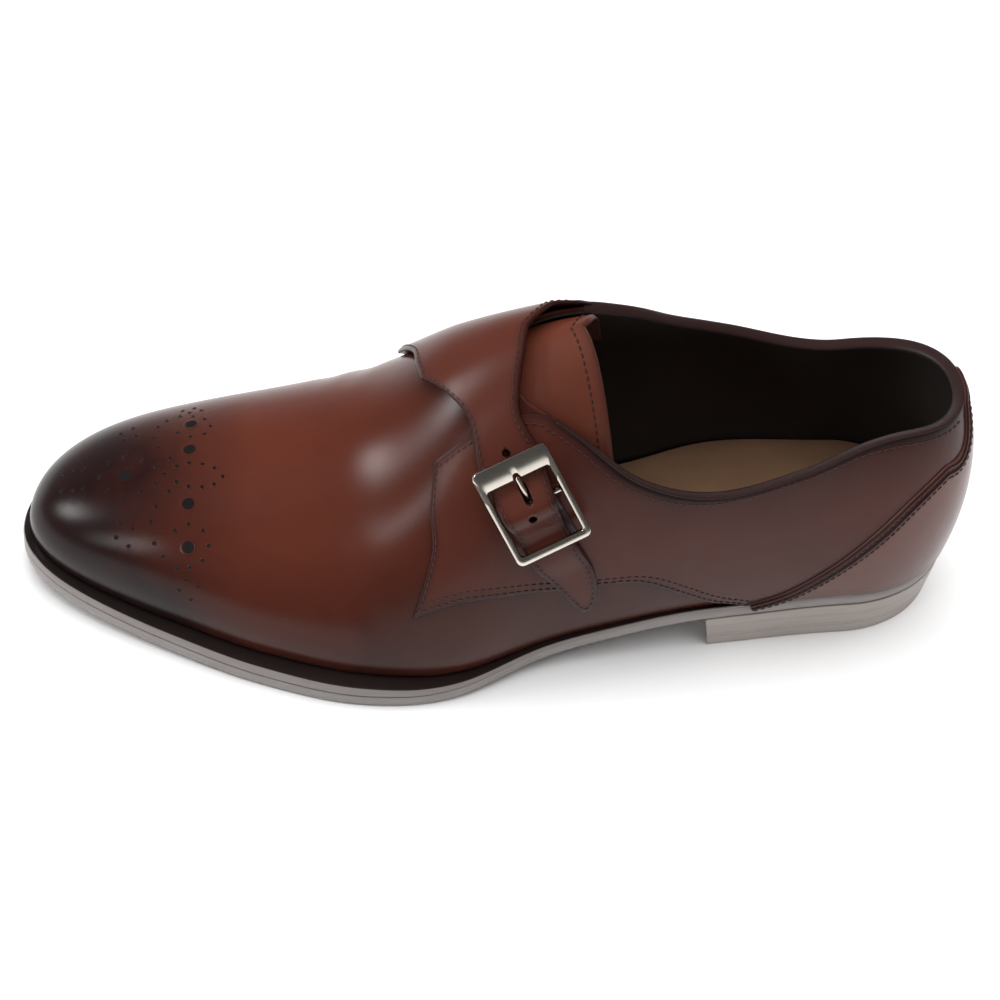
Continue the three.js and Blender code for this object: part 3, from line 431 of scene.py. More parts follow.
for sign, operation in (("add", "ADD"), ("sub", "SUBTRACT"), ("mul", "MULTIPLY"), ("truediv", "DIVIDE")):
    setattr(Number, "__%s__" % sign, arithmetic(operation))
    setattr(Number, "__r%s__" % sign, arithmetic(operation, True))


class Paint:
    """One material while it is put together."""

    def __init__(self, name, roughness=0.5, metallic=0.0, coat=0.0, coat_roughness=0.1):
        self.material = bpy.data.materials.new(name)
        self.material.use_nodes = True
        self.tree = self.material.node_tree
        self.shader = self.tree.nodes["Principled BSDF"]
        self.put("Roughness", roughness)
        self.put("Metallic", metallic)
        self.put("Coat Weight", coat)
        self.put("Coat Roughness", coat_roughness)

    def feed(self, socket, value):
        if isinstance(value, Number):
            value = value.socket
        if isinstance(value, bpy.types.NodeSocket):
            self.tree.links.new(value, socket)
        elif isinstance(value, (tuple, list)) and socket.type == "RGBA":
            socket.default_value = (*value, 1.0)[:4]
        else:
            socket.default_value = value

    def put(self, name, value):
        self.feed(self.shader.inputs[name], value)

    def node(self, kind, output, settings=None, **inputs):
        """Any node: its settings, its inputs by name with _ for spaces, and one of its outputs."""
        node = self.tree.nodes.new(kind)
        for name, value in (settings or {}).items():
            setattr(node, name, value)
        for name, value in inputs.items():
            self.feed(node.inputs[name.replace("_", " ")], value)
        return Number(self, node.outputs[output])

    def given(self, name):
        """A value stored on the mesh."""
        return self.node("ShaderNodeAttribute", "Fac", {"attribute_name": name})

    def noise(self, scale, detail=3.0, roughness=0.55, stretch=(1, 1, 1)):
        place = self.node("ShaderNodeTexCoord", "Object")
        if stretch != (1, 1, 1):
            place = self.scaled(place, stretch)
        return self.node("ShaderNodeTexNoise", "Fac", {}, Vector=place, Scale=scale, Detail=detail,
                         Roughness=roughness)

    def scaled(self, vector, factors):
        node = self.tree.nodes.new("ShaderNodeVectorMath")
        node.operation = "MULTIPLY"
        self.feed(node.inputs[0], vector)
        node.inputs[1].default_value = factors
        return Number(self, node.outputs[0])

    def blend(self, share, first, second):
        """From the first colour to the second."""
        node = self.tree.nodes.new("ShaderNodeMix")
        node.data_type = "RGBA"
        self.feed(node.inputs[0], share)
        self.feed(node.inputs[6], first)
        self.feed(node.inputs[7], second)
        return Number(self, node.outputs[2])

    def bump(self, height, strength, distance=0.001):
        self.put("Normal", self.node("ShaderNodeBump", "Normal", {}, Height=height, Strength=strength,
                                     Distance=distance))
        return self.material


def calf(name, pale, deep, edge_tone, roughness=0.24, shine=0.2):
    """Polished calf: burnished darker where tone says and along its borders, with a fine grain."""
    paint = Paint(name)
    paint.put("Specular IOR Level", shine)
    mottle = paint.noise(38.0, 4.0)
    fine = paint.noise(900.0, 2.0)
    tone = paint.given("tone")
    border = 1 - (paint.given("border") / 5.0).held()
    share = (tone + (mottle - 0.5) * 0.55 + border * border * edge_tone).held()
    paint.put("Base Color", paint.blend(share, pale, deep))
    paint.put("Roughness", (roughness + (mottle - 0.5) * 0.14 + border * 0.08).held(0.12, 0.9))
    grain = paint.node("ShaderNodeTexVoronoi", "Distance", {}, Scale=1500.0)
    return paint.bump(fine * 0.6 + grain * 0.4, 0.05, 0.0004)


def plain_hide(name, pale, deep, roughness, scale=60.0, strength=0.12, stretch=(1, 1, 1)):
    """Undressed or sole leather."""
    paint = Paint(name, roughness=roughness)
    fibre = paint.noise(scale, 6.0, 0.65, stretch)
    paint.put("Base Color", paint.blend(fibre, pale, deep))
    return paint.bump(fibre, strength, 0.0005)


VAMP = calf("vamp_calf", (0.082, 0.0195, 0.011), (0.012, 0.0045, 0.0045), 0.5)
QUARTERS = calf("quarter_calf", (0.080, 0.022, 0.0145), (0.012, 0.0045, 0.0045), 0.75)
# The counter's calf is the quarter calf made lighter and greyer: painted light and painted reflection of the
# floor on the low side of the heel.
COUNTER_CALF_PAINTED_LIGHT = calf("counter_calf_painted_light", (0.170, 0.080, 0.067), (0.060, 0.026, 0.023), 0.4)
TONGUE_CALF = calf("tongue_calf", (0.110, 0.028, 0.015), (0.025, 0.008, 0.007), 0.5, 0.4, 0.3)
BINDING = calf("binding_calf", (0.022, 0.010, 0.009), (0.010, 0.006, 0.006), 0.2, 0.35, 0.4)
LINING = plain_hide("lining_hide", (0.022, 0.017, 0.015), (0.012, 0.009, 0.008), 0.75, 90.0, 0.1)
INSOLE_HIDE = plain_hide("insole_hide", (0.14, 0.08, 0.045), (0.09, 0.05, 0.03), 0.6, 80.0, 0.1)
CHAPE_HIDE = plain_hide("chape_hide", (0.035, 0.014, 0.012), (0.016, 0.008, 0.008), 0.5, 120.0, 0.1)
# Near-black for the punched holes on the toe: the dark backing under them together with painted shade of the
# recesses.
HOLE_SHADE = plain_hide("painted_hole_shade", (0.006, 0.004, 0.004), (0.004, 0.003, 0.003), 0.9)


def thread(name, colour):
    paint = Paint(name, roughness=0.6)
    twist = paint.noise(2500.0, 1.0)
    paint.put("Base Color", paint.blend(twist, colour, tuple(c * 0.5 for c in colour)))
    return paint.bump(twist, 0.2, 0.0002)


THREAD = thread("brown_thread", (0.055, 0.022, 0.018))
DARK_THREAD = thread("dark_thread", (0.022, 0.010, 0.009))


def sole_edge(name, pale, deep, roughness, coat=0.0, layers=0.0):
    """Trimmed edge of sole leather; layers are the thin lines between the lifts of a heel."""
    paint = Paint(name, coat=coat, coat_roughness=0.3)
    fibre = paint.noise(70.0, 6.0, 0.65, (1, 1, 6))
    share = fibre
    if layers:
        height = paint.given("strip")
        line = (height * (2 * np.pi / layers)).sine()
        share = (fibre + (line - 0.93).held() * 9.0).held()
    paint.put("Base Color", paint.blend(share, pale, deep))
    paint.put("Roughness", (roughness + fibre * 0.15).held())
    return paint.bump(fibre, 0.1, 0.0004)


SOLE = sole_edge("sole_leather", (0.30, 0.27, 0.26), (0.20, 0.175, 0.165), 0.42, 0.15)
HEEL = sole_edge("stacked_leather", (0.45, 0.39, 0.36), (0.30, 0.26, 0.235), 0.42, 0.15, 5.2)
LIFT = sole_edge("heel_rubber", (0.48, 0.42, 0.385), (0.36, 0.315, 0.29), 0.5)


def waxed_and_shaded_welt():
    """Welt with a black top, its waxed colour together with painted shade under the upper's overhang, and a
    bare trimmed edge; tone is 1 on the top.
    """
    paint = Paint("welt_wax_and_painted_shade", coat_roughness=0.16)
    fibre = paint.noise(70.0, 6.0, 0.65, (1, 1, 6))
    wax_and_shade = ((paint.given("tone") - 0.5) * 6 + 0.5).held()
    bare = paint.blend(fibre, (0.25, 0.215, 0.205), (0.17, 0.145, 0.14))
    black_and_shade = paint.blend(fibre, (0.010, 0.007, 0.007), (0.018, 0.012, 0.011))
    paint.put("Base Color", paint.blend(wax_and_shade, bare, black_and_shade))
    paint.put("Roughness", 0.45 - wax_and_shade * 0.15)
    paint.put("Coat Weight", 0.1 + wax_and_shade * 0.3)
    return paint.bump(fibre, 0.08, 0.0004)


WELT_WAX_AND_SHADE = waxed_and_shaded_welt()


def polished_nickel():
    paint = Paint("polished_nickel", metallic=1.0)
    smear = paint.noise(130.0, 3.0)
    paint.put("Base Color", paint.blend(smear, (0.72, 0.67, 0.60), (0.60, 0.55, 0.48)))
    paint.put("Roughness", 0.16 + smear * 0.12)
    return paint.material


NICKEL = polished_nickel()


# How dark each leather is burnished, from 0 pale to 1 dark
def vamp_tone(at, across):
    toe = np.clip((at - 0.77) / 0.17, 0, 1) ** 0.9
    low = np.clip((np.abs(across) - 0.45) / 0.45, 0, 1) ** 1.3
    back = np.clip((0.66 - at) / 0.12, 0, 1)
    low = low * np.clip((at - 0.52) / 0.12, 0, 1)
    return np.clip(0.08 + 0.9 * toe + 0.5 * low + 0.38 * back, 0, 1)


def quarter_tone(at, across):
    low = np.clip((np.abs(across) - 0.75) / 0.25, 0, 1)
    height = (1 - np.abs(across)) / np.maximum(topline_share(at, np.sign(across)), 0.1)
    top = np.clip((height - 0.62) / 0.38, 0, 1) * np.clip((0.47 - at) / 0.08, 0, 1)
    return np.clip(0.12 + 0.25 * low + 0.5 * top + 0.15 * np.clip((0.1 - at) / 0.1, 0, 1), 0, 1)


# The upper and its lining
def shell(name, ats, levels, over, under, material, slot, tone=None, share_of=topline_share):
    """A wall round the foot between two lifts, open at the topline and underneath."""
    points, faces, tones = [], [], []
    for side in (-1, 1):
        whole = share_of(ats, side)
        share = whole[:, None] * np.linspace(0, 1, levels + 1)[None]
        at = np.broadcast_to(ats[:, None], share.shape)
        across = side * np.maximum(1 - share, 1e-9)
        base = sum(len(p) for p in points)
        size = at.size
        cols = levels + 1
        points += [skin(at, across, over).reshape(-1, 3), skin(at, across, under).reshape(-1, 3)]
        values = tone(at, across) if tone else np.zeros(at.shape)
        tones += [values.ravel(), values.ravel()]
        faces += [quads(len(ats), cols, base), quads(len(ats), cols, base + size, flip=True)]
        i = np.arange(len(ats) - 1)
        for j, rim in ((0, i), (levels, i[(whole[:-1] < 1) | (whole[1:] < 1)])):
            a, b = base + rim * cols + j, base + (rim + 1) * cols + j
            faces.append(np.stack([a, b, b + size, a + size], -1))
    return make(name, np.concatenate(points), np.concatenate(faces), material, slot,
                tone=np.concatenate(tones), edges=np.full(sum(len(p) for p in points), 20.0))


ats = np.sort(np.concatenate([stations(150), np.linspace(0.48, 0.54, 14)]))
upper = shell("upper_leather", ats, 56, 0.0, -1.2, VAMP, "vamp", vamp_tone)
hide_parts("upper")
shell("upper_lining", stations(80), 30, -1.25, -WALL, LINING, "chape")


# Patches: each row holds the two ends of a line across the patch
def patch_rows(names, rows):
    return [dict(zip(names.split(), row)) for row in rows]


def through(rows, name, u):
    """Value of one column between the lines, smooth but for the sharp ones."""
    y = np.array([row[name] for row in rows], float)
    last = len(rows) - 1
    chord = np.diff(y)
    sharp = np.array([row.get("sharp", 0) for row in rows], bool)
    middle = np.concatenate([[0], (y[2:] - y[:-2]) / 2, [0]])
    i = np.clip(np.floor(u).astype(int), 0, last - 1)
    start = np.where((i == 0) | sharp[i], chord[i], middle[i])
    end = np.where((i == last - 1) | sharp[i + 1], chord[i], middle[i + 1])
    t = u - i
    return y[i] + t * chord[i] + t * (1 - t) * ((1 - t) * (start - chord[i]) - t * (end - chord[i]))


def topline_across(at, side):
    return side * (1 - topline_share(at, side))


FADE_POWER = 4


class Patch:
    """A leather patch between a low and a high line, on one side of the shoe to start with."""

    def __init__(self, rows, side, back=None, front=None, fade=None):
        self.rows, self.side = rows, side
        self.last = len(rows) - 1
        self.fade = fade or self.last
        self.filled = [dict(row) for row in rows]
        for row in self.filled:
            if row["high"] is None:
                row["high"] = float(topline_across(row["highAt"], side))
        self.ends = [(u, self.line(line)) for u, line in ((0, back), (self.last, front)) if line is not None]

    @staticmethod
    def line(points):
        """A border line by its share of length."""
        points = np.array(points, float)
        fine = np.linspace(0, len(points) - 1, 400)
        rows = [{"a": p[0], "b": p[1]} for p in points]
        path = np.stack([through(rows, "a", fine), through(rows, "b", fine)], -1)
        run = run_of(path * (LAST_LENGTH, GIRTH))
        return lambda v: np.stack([np.interp(v * run[-1], run, path[:, k]) for k in (0, 1)], -1)

    def straight(self, u, v):
        low = np.stack([through(self.filled, "lowAt", u), through(self.filled, "low", u)], -1)
        high_at = through(self.filled, "highAt", u)
        i = np.clip(np.floor(u).astype(int), 0, self.last - 1)
        tops = np.array([row["high"] is None for row in self.rows])
        on_top = tops[i] & tops[i + 1]
        high = np.where(on_top, topline_across(high_at, self.side), through(self.filled, "high", u))
        top = np.stack([high_at, high], -1)
        return low + (top - low) * v[..., None]

    def at(self, u, v):
        """(at, across) of a place on the patch; an end's own line counts for less away from it."""
        u, v = np.broadcast_arrays(np.asarray(u, float), np.asarray(v, float))
        place = self.straight(u, v)
        for end, line in self.ends:
            near = np.clip(1 - np.abs(u - end) / self.fade, 0, 1) ** FADE_POWER
            place = place + near[..., None] * (line(v) - self.straight(np.full(u.shape, float(end)), v))
        return place[..., 0], place[..., 1]

    def column(self, name, u):
        return through(self.rows, name, np.asarray(u, float))

    def rows_by_length(self, step, ends=(0.0, 0.3, 0.8)):
        """Row values spaced evenly along the middle, closer together at both ends."""
        u = np.linspace(0, self.last, 600)
        path = skin(*self.at(u, np.full(600, 0.5)))
        run = run_of(path)
        count = int(run[-1] / step)
        want = np.concatenate([ends, np.linspace(1.6, run[-1] - 1.6, count), run[-1] - np.array(ends[::-1])])
        extra = np.arange(self.last + 1)
        return np.unique(np.round(np.concatenate([np.interp(want, run, u), extra]), 6))


# Counter, wrapped round the heel
def counter_reach(at, side):
    return smooth(COUNTER_LINE, "share", at) * topline_share(at, side)


line = stations(90, COUNTER_AT - 0.001)
turns = np.concatenate([line[:0:-1], line])
sides = np.concatenate([-np.ones(len(line) - 1), np.ones(len(line))])
reach = counter_reach(turns, sides)
share = reach[:, None] * bunched(40)[None]
turns_grid = np.broadcast_to(turns[:, None], share.shape)
sides_grid = np.broadcast_to(sides[:, None], share.shape)
counter_across = sides_grid * np.maximum(1 - share, 1e-9)
counter = leather("counter_leather", turns_grid, counter_across, OVERLAY_GAP, COUNTER - 0.3, COUNTER_CALF_PAINTED_LIGHT,
                  "quarter", quarter_tone(turns_grid, counter_across))
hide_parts("counter")


def counter_border(side, lap):
    """Where a quarter ends under the counter's edge, rising all the way."""
    ahead = np.concatenate([stations(60, COUNTER_AT)[::-1][:-1], [TAB_AT]])
    ahead = ahead[ahead >= TAB_AT]
    speed = np.linalg.norm(feather(ahead + SMALL, side) - feather(ahead - SMALL, side), axis=-1) / (2 * SMALL)
    moved = np.maximum(ahead - lap / speed, SMALL)
    reach = np.maximum.accumulate(smooth(COUNTER_LINE, "share", ahead) * topline_share(moved, side))
    return np.stack([moved, side * (1 - reach)], -1)


LATERAL_QUARTER = patch_rows("lowAt low highAt high", [
    (0.2454, -1, TAB_AT, None), (0.262, -0.983, 0.025, None), (0.29, -0.955, 0.08, None),
    (0.36, -0.845, 0.18, None), (0.403, -0.82, 0.265, None), (0.445, -0.805, 0.335, None),
    (0.495, -0.76, 0.405, None), (0.542, -0.72, 0.47, None), (0.57, -0.716, 0.525, -0.275),
    (0.598, -0.725, 0.578, -0.305),
])
LATERAL_FRONT = [(0.598, -0.725), (0.589, -0.645), (0.58, -0.545), (0.582, -0.435), (0.578, -0.305)]
lateral = Patch(LATERAL_QUARTER, -1, counter_border(-1, QUARTER_LAP), LATERAL_FRONT)
us, vs = lateral.rows_by_length(1.6), bunched(46, (0.002, 0.007, 0.014))
at, across = lateral.at(us[:, None], vs[None])
lateral_quarter = leather("lateral_quarter_leather", at, across, OVERLAY_GAP, QUARTER, QUARTERS, "quarter",
                          quarter_tone(at, across))
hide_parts("lateral_quarter")

ON_QUARTER = 2 * OVERLAY_GAP + QUARTER
MEDIAL_QUARTER = patch_rows("lowAt low highAt high lift thick sharp", [
    (0.2454, 1, TAB_AT, None, OVERLAY_GAP, QUARTER, 0), (0.262, 0.983, 0.025, None, OVERLAY_GAP, QUARTER, 0),
    (0.29, 0.955, 0.08, None, OVERLAY_GAP, QUARTER, 0), (0.36, 0.845, 0.16, None, OVERLAY_GAP, QUARTER, 0),
    (0.445, 0.805, 0.24, None, OVERLAY_GAP, QUARTER, 0), (0.54, 0.72, 0.31, None, OVERLAY_GAP, QUARTER, 0),
    (0.6, 0.725, 0.37, None, OVERLAY_GAP, QUARTER, 1), (0.601, 0.6, 0.41, None, OVERLAY_GAP, QUARTER, 0),
    (0.611, 0.45, 0.435, 0.25, 0.9, 1.3, 1), (0.6, 0.3, 0.455, 0.2, 2, 1.5, 0),
    (0.591, 0.19, 0.468, 0.1, 2.4, 1.6, 0), (0.588, 0.08, 0.482, 0, 2.3, 1.8, 0),
    (0.584, -0.03, 0.488, -0.1, ON_QUARTER, STRAP, 1), (0.562, -0.13, 0.494, -0.2, ON_QUARTER, STRAP, 0),
    (0.543, -0.24, 0.494, -0.29, ON_QUARTER, STRAP, 0), (0.535, -0.38, 0.476, -0.4, ON_QUARTER, STRAP, 0),
    (0.52, -0.48, 0.463, -0.5, ON_QUARTER, STRAP, 0), (0.505, -0.56, 0.45, -0.6, ON_QUARTER, STRAP, 0),
    (0.483, -0.68, 0.432, -0.68, ON_QUARTER, STRAP, 0), (0.458, -0.765, 0.414, -0.76, ON_QUARTER, STRAP, 0),
    (0.434, -0.845, 0.408, -0.83, ON_QUARTER, STRAP, 0), (0.422, -0.88, 0.412, -0.875, ON_QUARTER, STRAP, 0),
])
QUARTER_LINES = 6
medial = Patch(MEDIAL_QUARTER, 1, counter_border(1, QUARTER_LAP), fade=QUARTER_LINES)

# The buckle's own frame on the skin: x down the strap, y across it, z off the foot
middle_at, middle_across = np.add(BUCKLE_TOP, BUCKLE_END) / 2
BUCKLE_MIDDLE = skin(middle_at, middle_across)
down = unit(skin(*BUCKLE_END) - skin(*BUCKLE_TOP))
off = skin_normal(middle_at, middle_across)
off = unit(off - down * off.dot(down))
BUCKLE_AXES = np.stack([down, np.cross(off, down), off])


def to_buckle(points):
    return (points - BUCKLE_MIDDLE) @ BUCKLE_AXES.T


def from_buckle(points):
    return np.asarray(points, float) @ BUCKLE_AXES + BUCKLE_MIDDLE


def skin_under(x, y):
    """Place on the last under a point of the buckle's frame."""
    x, y = np.broadcast_arrays(np.asarray(x, float), np.asarray(y, float))
    at, across = np.full(x.shape, middle_at), np.full(x.shape, middle_across)
    for _ in range(6):
        p = to_buckle(skin(at, across))
        du = (to_buckle(skin(at + 0.002, across)) - p) / 0.002
        dv = (to_buckle(skin(at, across + 0.004)) - p) / 0.004
        det = du[..., 0] * dv[..., 1] - du[..., 1] * dv[..., 0]
        ex, ey = x - p[..., 0], y - p[..., 1]
        at = at + (ex * dv[..., 1] - ey * dv[..., 0]) / det
        across = across + (du[..., 0] * ey - du[..., 1] * ex) / det
    return at, across


def ease(x, low, high):
    t = np.clip((x - low) / (high - low), 0, 1)
    return t * t * (3 - 2 * t)


def strap_rise(u, at, across):
    """The strap climbs over the centre bar and lies on the chape behind it."""
    x = to_buckle(skin(at, across))[..., 0]
    on_chape = ease(x, -BAR_CLEAR, BAR_CLEAR) * (1 - ease(x, CHAPE_LONG + GAP, CHAPE_LONG + HUMP_REACH))
    hump = np.where(np.abs(x) < HUMP_REACH, (1 + np.cos(np.pi * x / HUMP_REACH)) / 2, 0)
    rise = (CHAPE + 2 * GAP) * on_chape + STRAP_HUMP * hump
    return np.where((u < QUARTER_LINES + 2) | (across > 0), 0, rise)


us, vs = medial.rows_by_length(1.3), bunched(44, (0.004, 0.012, 0.025))
at, across = medial.at(us[:, None], vs[None])
rows_u = np.broadcast_to(us[:, None], at.shape)
strap_under = medial.column("lift", rows_u) + strap_rise(rows_u, at, across)
strap_thick = medial.column("thick", rows_u)
strap_tone = quarter_tone(at, across) * np.clip(np.abs(across) + 0.4, 0.4, 1)
strap = leather("medial_quarter_strap_leather", at, across, strap_under, strap_thick, QUARTERS, "quarter",
                strap_tone, 0.9)
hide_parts("medial_quarter_strap")


def strap_place(u, v, above=0.0):
    """Point on the outer face of the medial quarter and strap."""
    u, v = np.broadcast_arrays(np.asarray(u, float), np.asarray(v, float))
    at, across = medial.at(u, v)
    lift = medial.column("lift", u) + medial.column("thick", u) + strap_rise(u, at, across) + above
    return skin(at, across, lift)


def lateral_place(u, v, above=0.0):
    return skin(*lateral.at(u, v), OVERLAY_GAP + QUARTER + above)


# Holes through the strap: the prong's slot and the empty ones
def drill(piece, cutters):
    for points, faces in cutters:
        tool = make("drill", points, faces, HOLE_SHADE, None)
        cut = piece.modifiers.new("hole", "BOOLEAN")
        cut.operation, cut.object, cut.solver = "DIFFERENCE", tool, "EXACT"
        bpy.context.view_layer.objects.active = piece
        bpy.ops.object.modifier_apply(modifier=cut.name)
        bpy.data.objects.remove(tool)


def post(x0, x1, y, radius, low=-8.0, high=14.0, segments=24):
    """A round-ended post standing on the buckle's frame."""
    turn = np.linspace(0, 2 * np.pi, segments, endpoint=False)
    shift = np.where(np.cos(turn) > 0, x1, x0)
    ring = np.stack([shift + radius * np.cos(turn), y + radius * np.sin(turn)], -1)
    points = [np.column_stack([ring, np.full(segments, z)]) for z in (low, high)]
    faces = [list(f) for f in quads(2, segments, turn_cols=True)]
    faces += [list(range(segments)), list(range(segments, 2 * segments))[::-1]]
    return from_buckle(np.concatenate(points)), faces


r = HOLE / 2
upper_hole, lower_hole = HOLE_USED - HOLE_PITCH, HOLE_USED + HOLE_PITCH
drill(strap, [post(SLOT_FROM + r, SLOT_TO - r, 0, r), post(upper_hole, upper_hole, 0, r),
              post(lower_hole, lower_hole, HOLE_ASIDE, r)])

# Tongue
TONGUE_FRONT, TONGUE_REAR, TONGUE_SWEEP, TONGUE_HALF = 0.585, 0.434, 0.038, (0.45, 0.57)
TONGUE_LIFT = -(WALL + LINING_GAP)


def tongue_rear(across):
    return TONGUE_REAR - TONGUE_SWEEP * np.abs(across) / TONGUE_HALF[1]


u, v = np.linspace(0, 1, 60)[:, None], np.linspace(-1, 1, 70)[None]
tongue_across = v * (TONGUE_HALF[0] + (TONGUE_HALF[1] - TONGUE_HALF[0]) * u)
tongue_at = TONGUE_FRONT + (tongue_rear(tongue_across) - TONGUE_FRONT) * u
tongue = leather("tongue_leather", tongue_at, tongue_across, TONGUE_LIFT - TONGUE, TONGUE, TONGUE_CALF,
                 "tongue", 0.25)
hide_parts("tongue")

# Binding round the topline, over the edges of upper and quarters
back_line = np.concatenate([stations(220, 0.46)[::-1], stations(220, 0.425)[1:]])
back_side = np.concatenate([-np.ones(221), np.ones(220)])
whole = topline_share(back_line, back_side)
centre_lift = (OVERLAY_GAP + QUARTER - WALL) / 2
rim = skin(back_line, back_side * (1 - whole), centre_lift)
rim_normal = skin_normal(back_line, back_side * (1 - whole))
rim_run = unit(np.gradient(rim, axis=0))
rim_up = unit(np.cross(rim_run, rim_normal))
rim_up *= np.sign(rim_up[:, 2:])
tube("collar_binding", rim - rim_up * 0.2, rim_normal, rim_up, (OVERLAY_GAP + QUARTER + WALL) / 2 + 0.1, 0.7,
     BINDING, "chape", segments=14)

# Sole: outsole, welt, insole
def raised(plan, height):
    return np.concatenate([plan, height(0.5 - plan[..., 0] / LAST_LENGTH)[..., None]], -1)


def outline_loop(count):
    ats = stations(count)
    return (np.concatenate([ats, ats[-2:0:-1]]),
            np.concatenate([-np.ones(count + 1), np.ones(count - 1)]))


loop_at, loop_side = outline_loop(200)
margin = smooth(MARGINS, "margin", loop_at)
plan_run = run_of(edge(loop_at, loop_side))


def rim_piece(name, steps, material, slot, tone=None):
    """A solid of rings: each step is how far inside the edge it lies, and a height."""
    rings = [raised(edge(loop_at, loop_side, depth), height) for depth, height in steps]
    points = np.concatenate(rings)
    n = len(loop_at)
    faces = [list(f) for f in quads(len(rings), n, turn_cols=True, turn_rows=True)]
    return make(name, points, faces, material, slot, strip=np.tile(plan_run, len(rings)),
                tone=np.repeat(tone, n) if tone is not None else None, sharp=40)


def plate_piece(name, steps, material, slot, strip=None, ats=None, outline=None, cols=15):
    """A solid plate with a shaped edge: rings round the rim, grids across top and bottom."""
    ats = stations(200) if ats is None else ats
    outline = outline or edge
    across = np.linspace(-1, 1, cols)
    def sheet(depth, height):
        low, high = (raised(outline(ats, side, depth), height) for side in (-1, 1))
        t = (across[None, :, None] + 1) / 2
        plan = (low[:, None] * (1 - t) + high[:, None] * t)[..., :2]
        return raised(plan, height)
    first, last = sheet(*steps[0]), sheet(*steps[-1])
    n, c = len(ats), cols
    round_at = np.concatenate([np.arange(n) * c, (n - 1) * c + np.arange(1, c),
                               np.arange(n - 2, -1, -1) * c + c - 1, np.arange(c - 2, 0, -1)])
    points, faces = [first.reshape(-1, 3)], [quads(n, c)]
    rings = [round_at]
    base = n * c
    for depth, height in steps[1:-1]:
        ring = sheet(depth, height).reshape(-1, 3)[round_at]
        points.append(ring)
        rings.append(base + np.arange(len(round_at)))
        base += len(round_at)
    points.append(last.reshape(-1, 3))
    faces.append(quads(n, c, base, flip=True))
    rings.append(base + round_at)
    for a, b in zip(rings, rings[1:]):
        faces.append(np.stack([a, np.roll(a, -1), np.roll(b, -1), b], -1))
    points = np.concatenate(points)
    return make(name, points, np.concatenate(faces), material, slot,
                strip=points[:, 2] if strip is None else strip, sharp=50)


def above(height, extra):
    return lambda at: height(at) + extra


outsole = plate_piece("outsole_leather", [
    (0.9, above(underside, OUTSOLE)), (0.25, above(underside, OUTSOLE)),
    (0.0, above(underside, OUTSOLE - 0.4)), (-0.05, above(underside, OUTSOLE * 0.5)),
    (0.15, above(underside, 0.7)), (0.5, above(underside, 0.2)),
    (1.1, underside)], SOLE, "sole")
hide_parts("outsole")


def welt_low(at):
    return underside(at) + OUTSOLE + 0.05


def welt_part(share):
    return lambda at: welt_low(at) + (welt_top(at) - welt_low(at)) * share


# Tone 1 marks the welt's black top: its waxed colour together with painted shade under the upper's edge.
wide = margin + WELT_INSIDE
welt = rim_piece("welt_leather", [
    (0.45, welt_part(0.0)), (0.12, welt_part(0.12)), (0.0, welt_part(0.3)), (0.0, welt_part(0.75)),
    (0.2, welt_part(0.93)), (0.45, welt_part(0.99)), (0.8, welt_part(1.0)),
    (margin * 0.5 + 0.3, welt_part(1.0)), (margin, welt_part(1.0)),
    (wide, welt_part(1.0)), (wide, welt_part(0.0))], WELT_WAX_AND_SHADE, "welt",
    tone=np.array([0, 0, 0, 0, 0.2, 0.8, 1, 1, 1, 1, 1], float))
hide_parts("welt")

inner = lambda at, side, depth: inset(at, side, WALL + LINING_GAP + depth)
insole = plate_piece("insole_leather", [
    (0.6, above(seat, INSOLE)), (0.1, above(seat, INSOLE - 0.3)), (0.0, above(seat, INSOLE - 0.8)),
    (0.0, above(seat, 0.0)), (WELT_INSIDE - WALL - LINING_GAP + GAP, above(seat, 0.0)),
    (WELT_INSIDE - WALL - LINING_GAP + GAP, welt_low)], INSOLE_HIDE, "insole", outline=inner)
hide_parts("insole")


# Heel: it tapers to the floor, the breast slants back and the inner front corner is cut off
def heel_piece(name, heights, material, slot):
    """Rings of the heel from the top down: (height, how much of the way to the floor, extra inset)."""
    ats = stations(70, BREAST_AT)
    shorter = BREAST_SLANT / (BREAST_AT * LAST_LENGTH)
    rings = []
    for height, depth, extra in heights:
        sides = []
        for side in (-1, 1):
            plan = edge(ats * (1 - shorter * depth - extra / (BREAST_AT * LAST_LENGTH)), side,
                        HEEL_TAPER * depth + extra)
            sides.append(plan)
        low, high = sides[0][::-1], sides[1][1:]
        ring = np.concatenate([low, high])
        corner = ring[-1].copy()
        start = np.array([corner[0], corner[1] - NOTCH_WIDE])
        step = unit(np.array([NOTCH_LONG, NOTCH_WIDE]))
        normal = np.array([step[1], -step[0]])
        past = (ring - start) @ normal
        cut = (ring[:, 1] > 0) & (past < 0)
        ring[cut] -= past[cut, None] * normal * 1.0
        closing = np.linspace(start, ring[0], 14)[:-1]
        ring = np.concatenate([ring, np.linspace(ring[-1], start, 6)[1:-1], closing])
        rings.append(raised(ring, height))
    n = len(rings[0])
    points = np.concatenate(rings)
    faces = [list(f) for f in quads(len(rings), n, turn_cols=True)]
    faces += [list(range(n)), list(range((len(rings) - 1) * n, len(rings) * n))]
    return make(name, points, faces, material, slot, strip=points[:, 2], sharp=35)


def flat(height):
    return lambda at: 0 * at + height


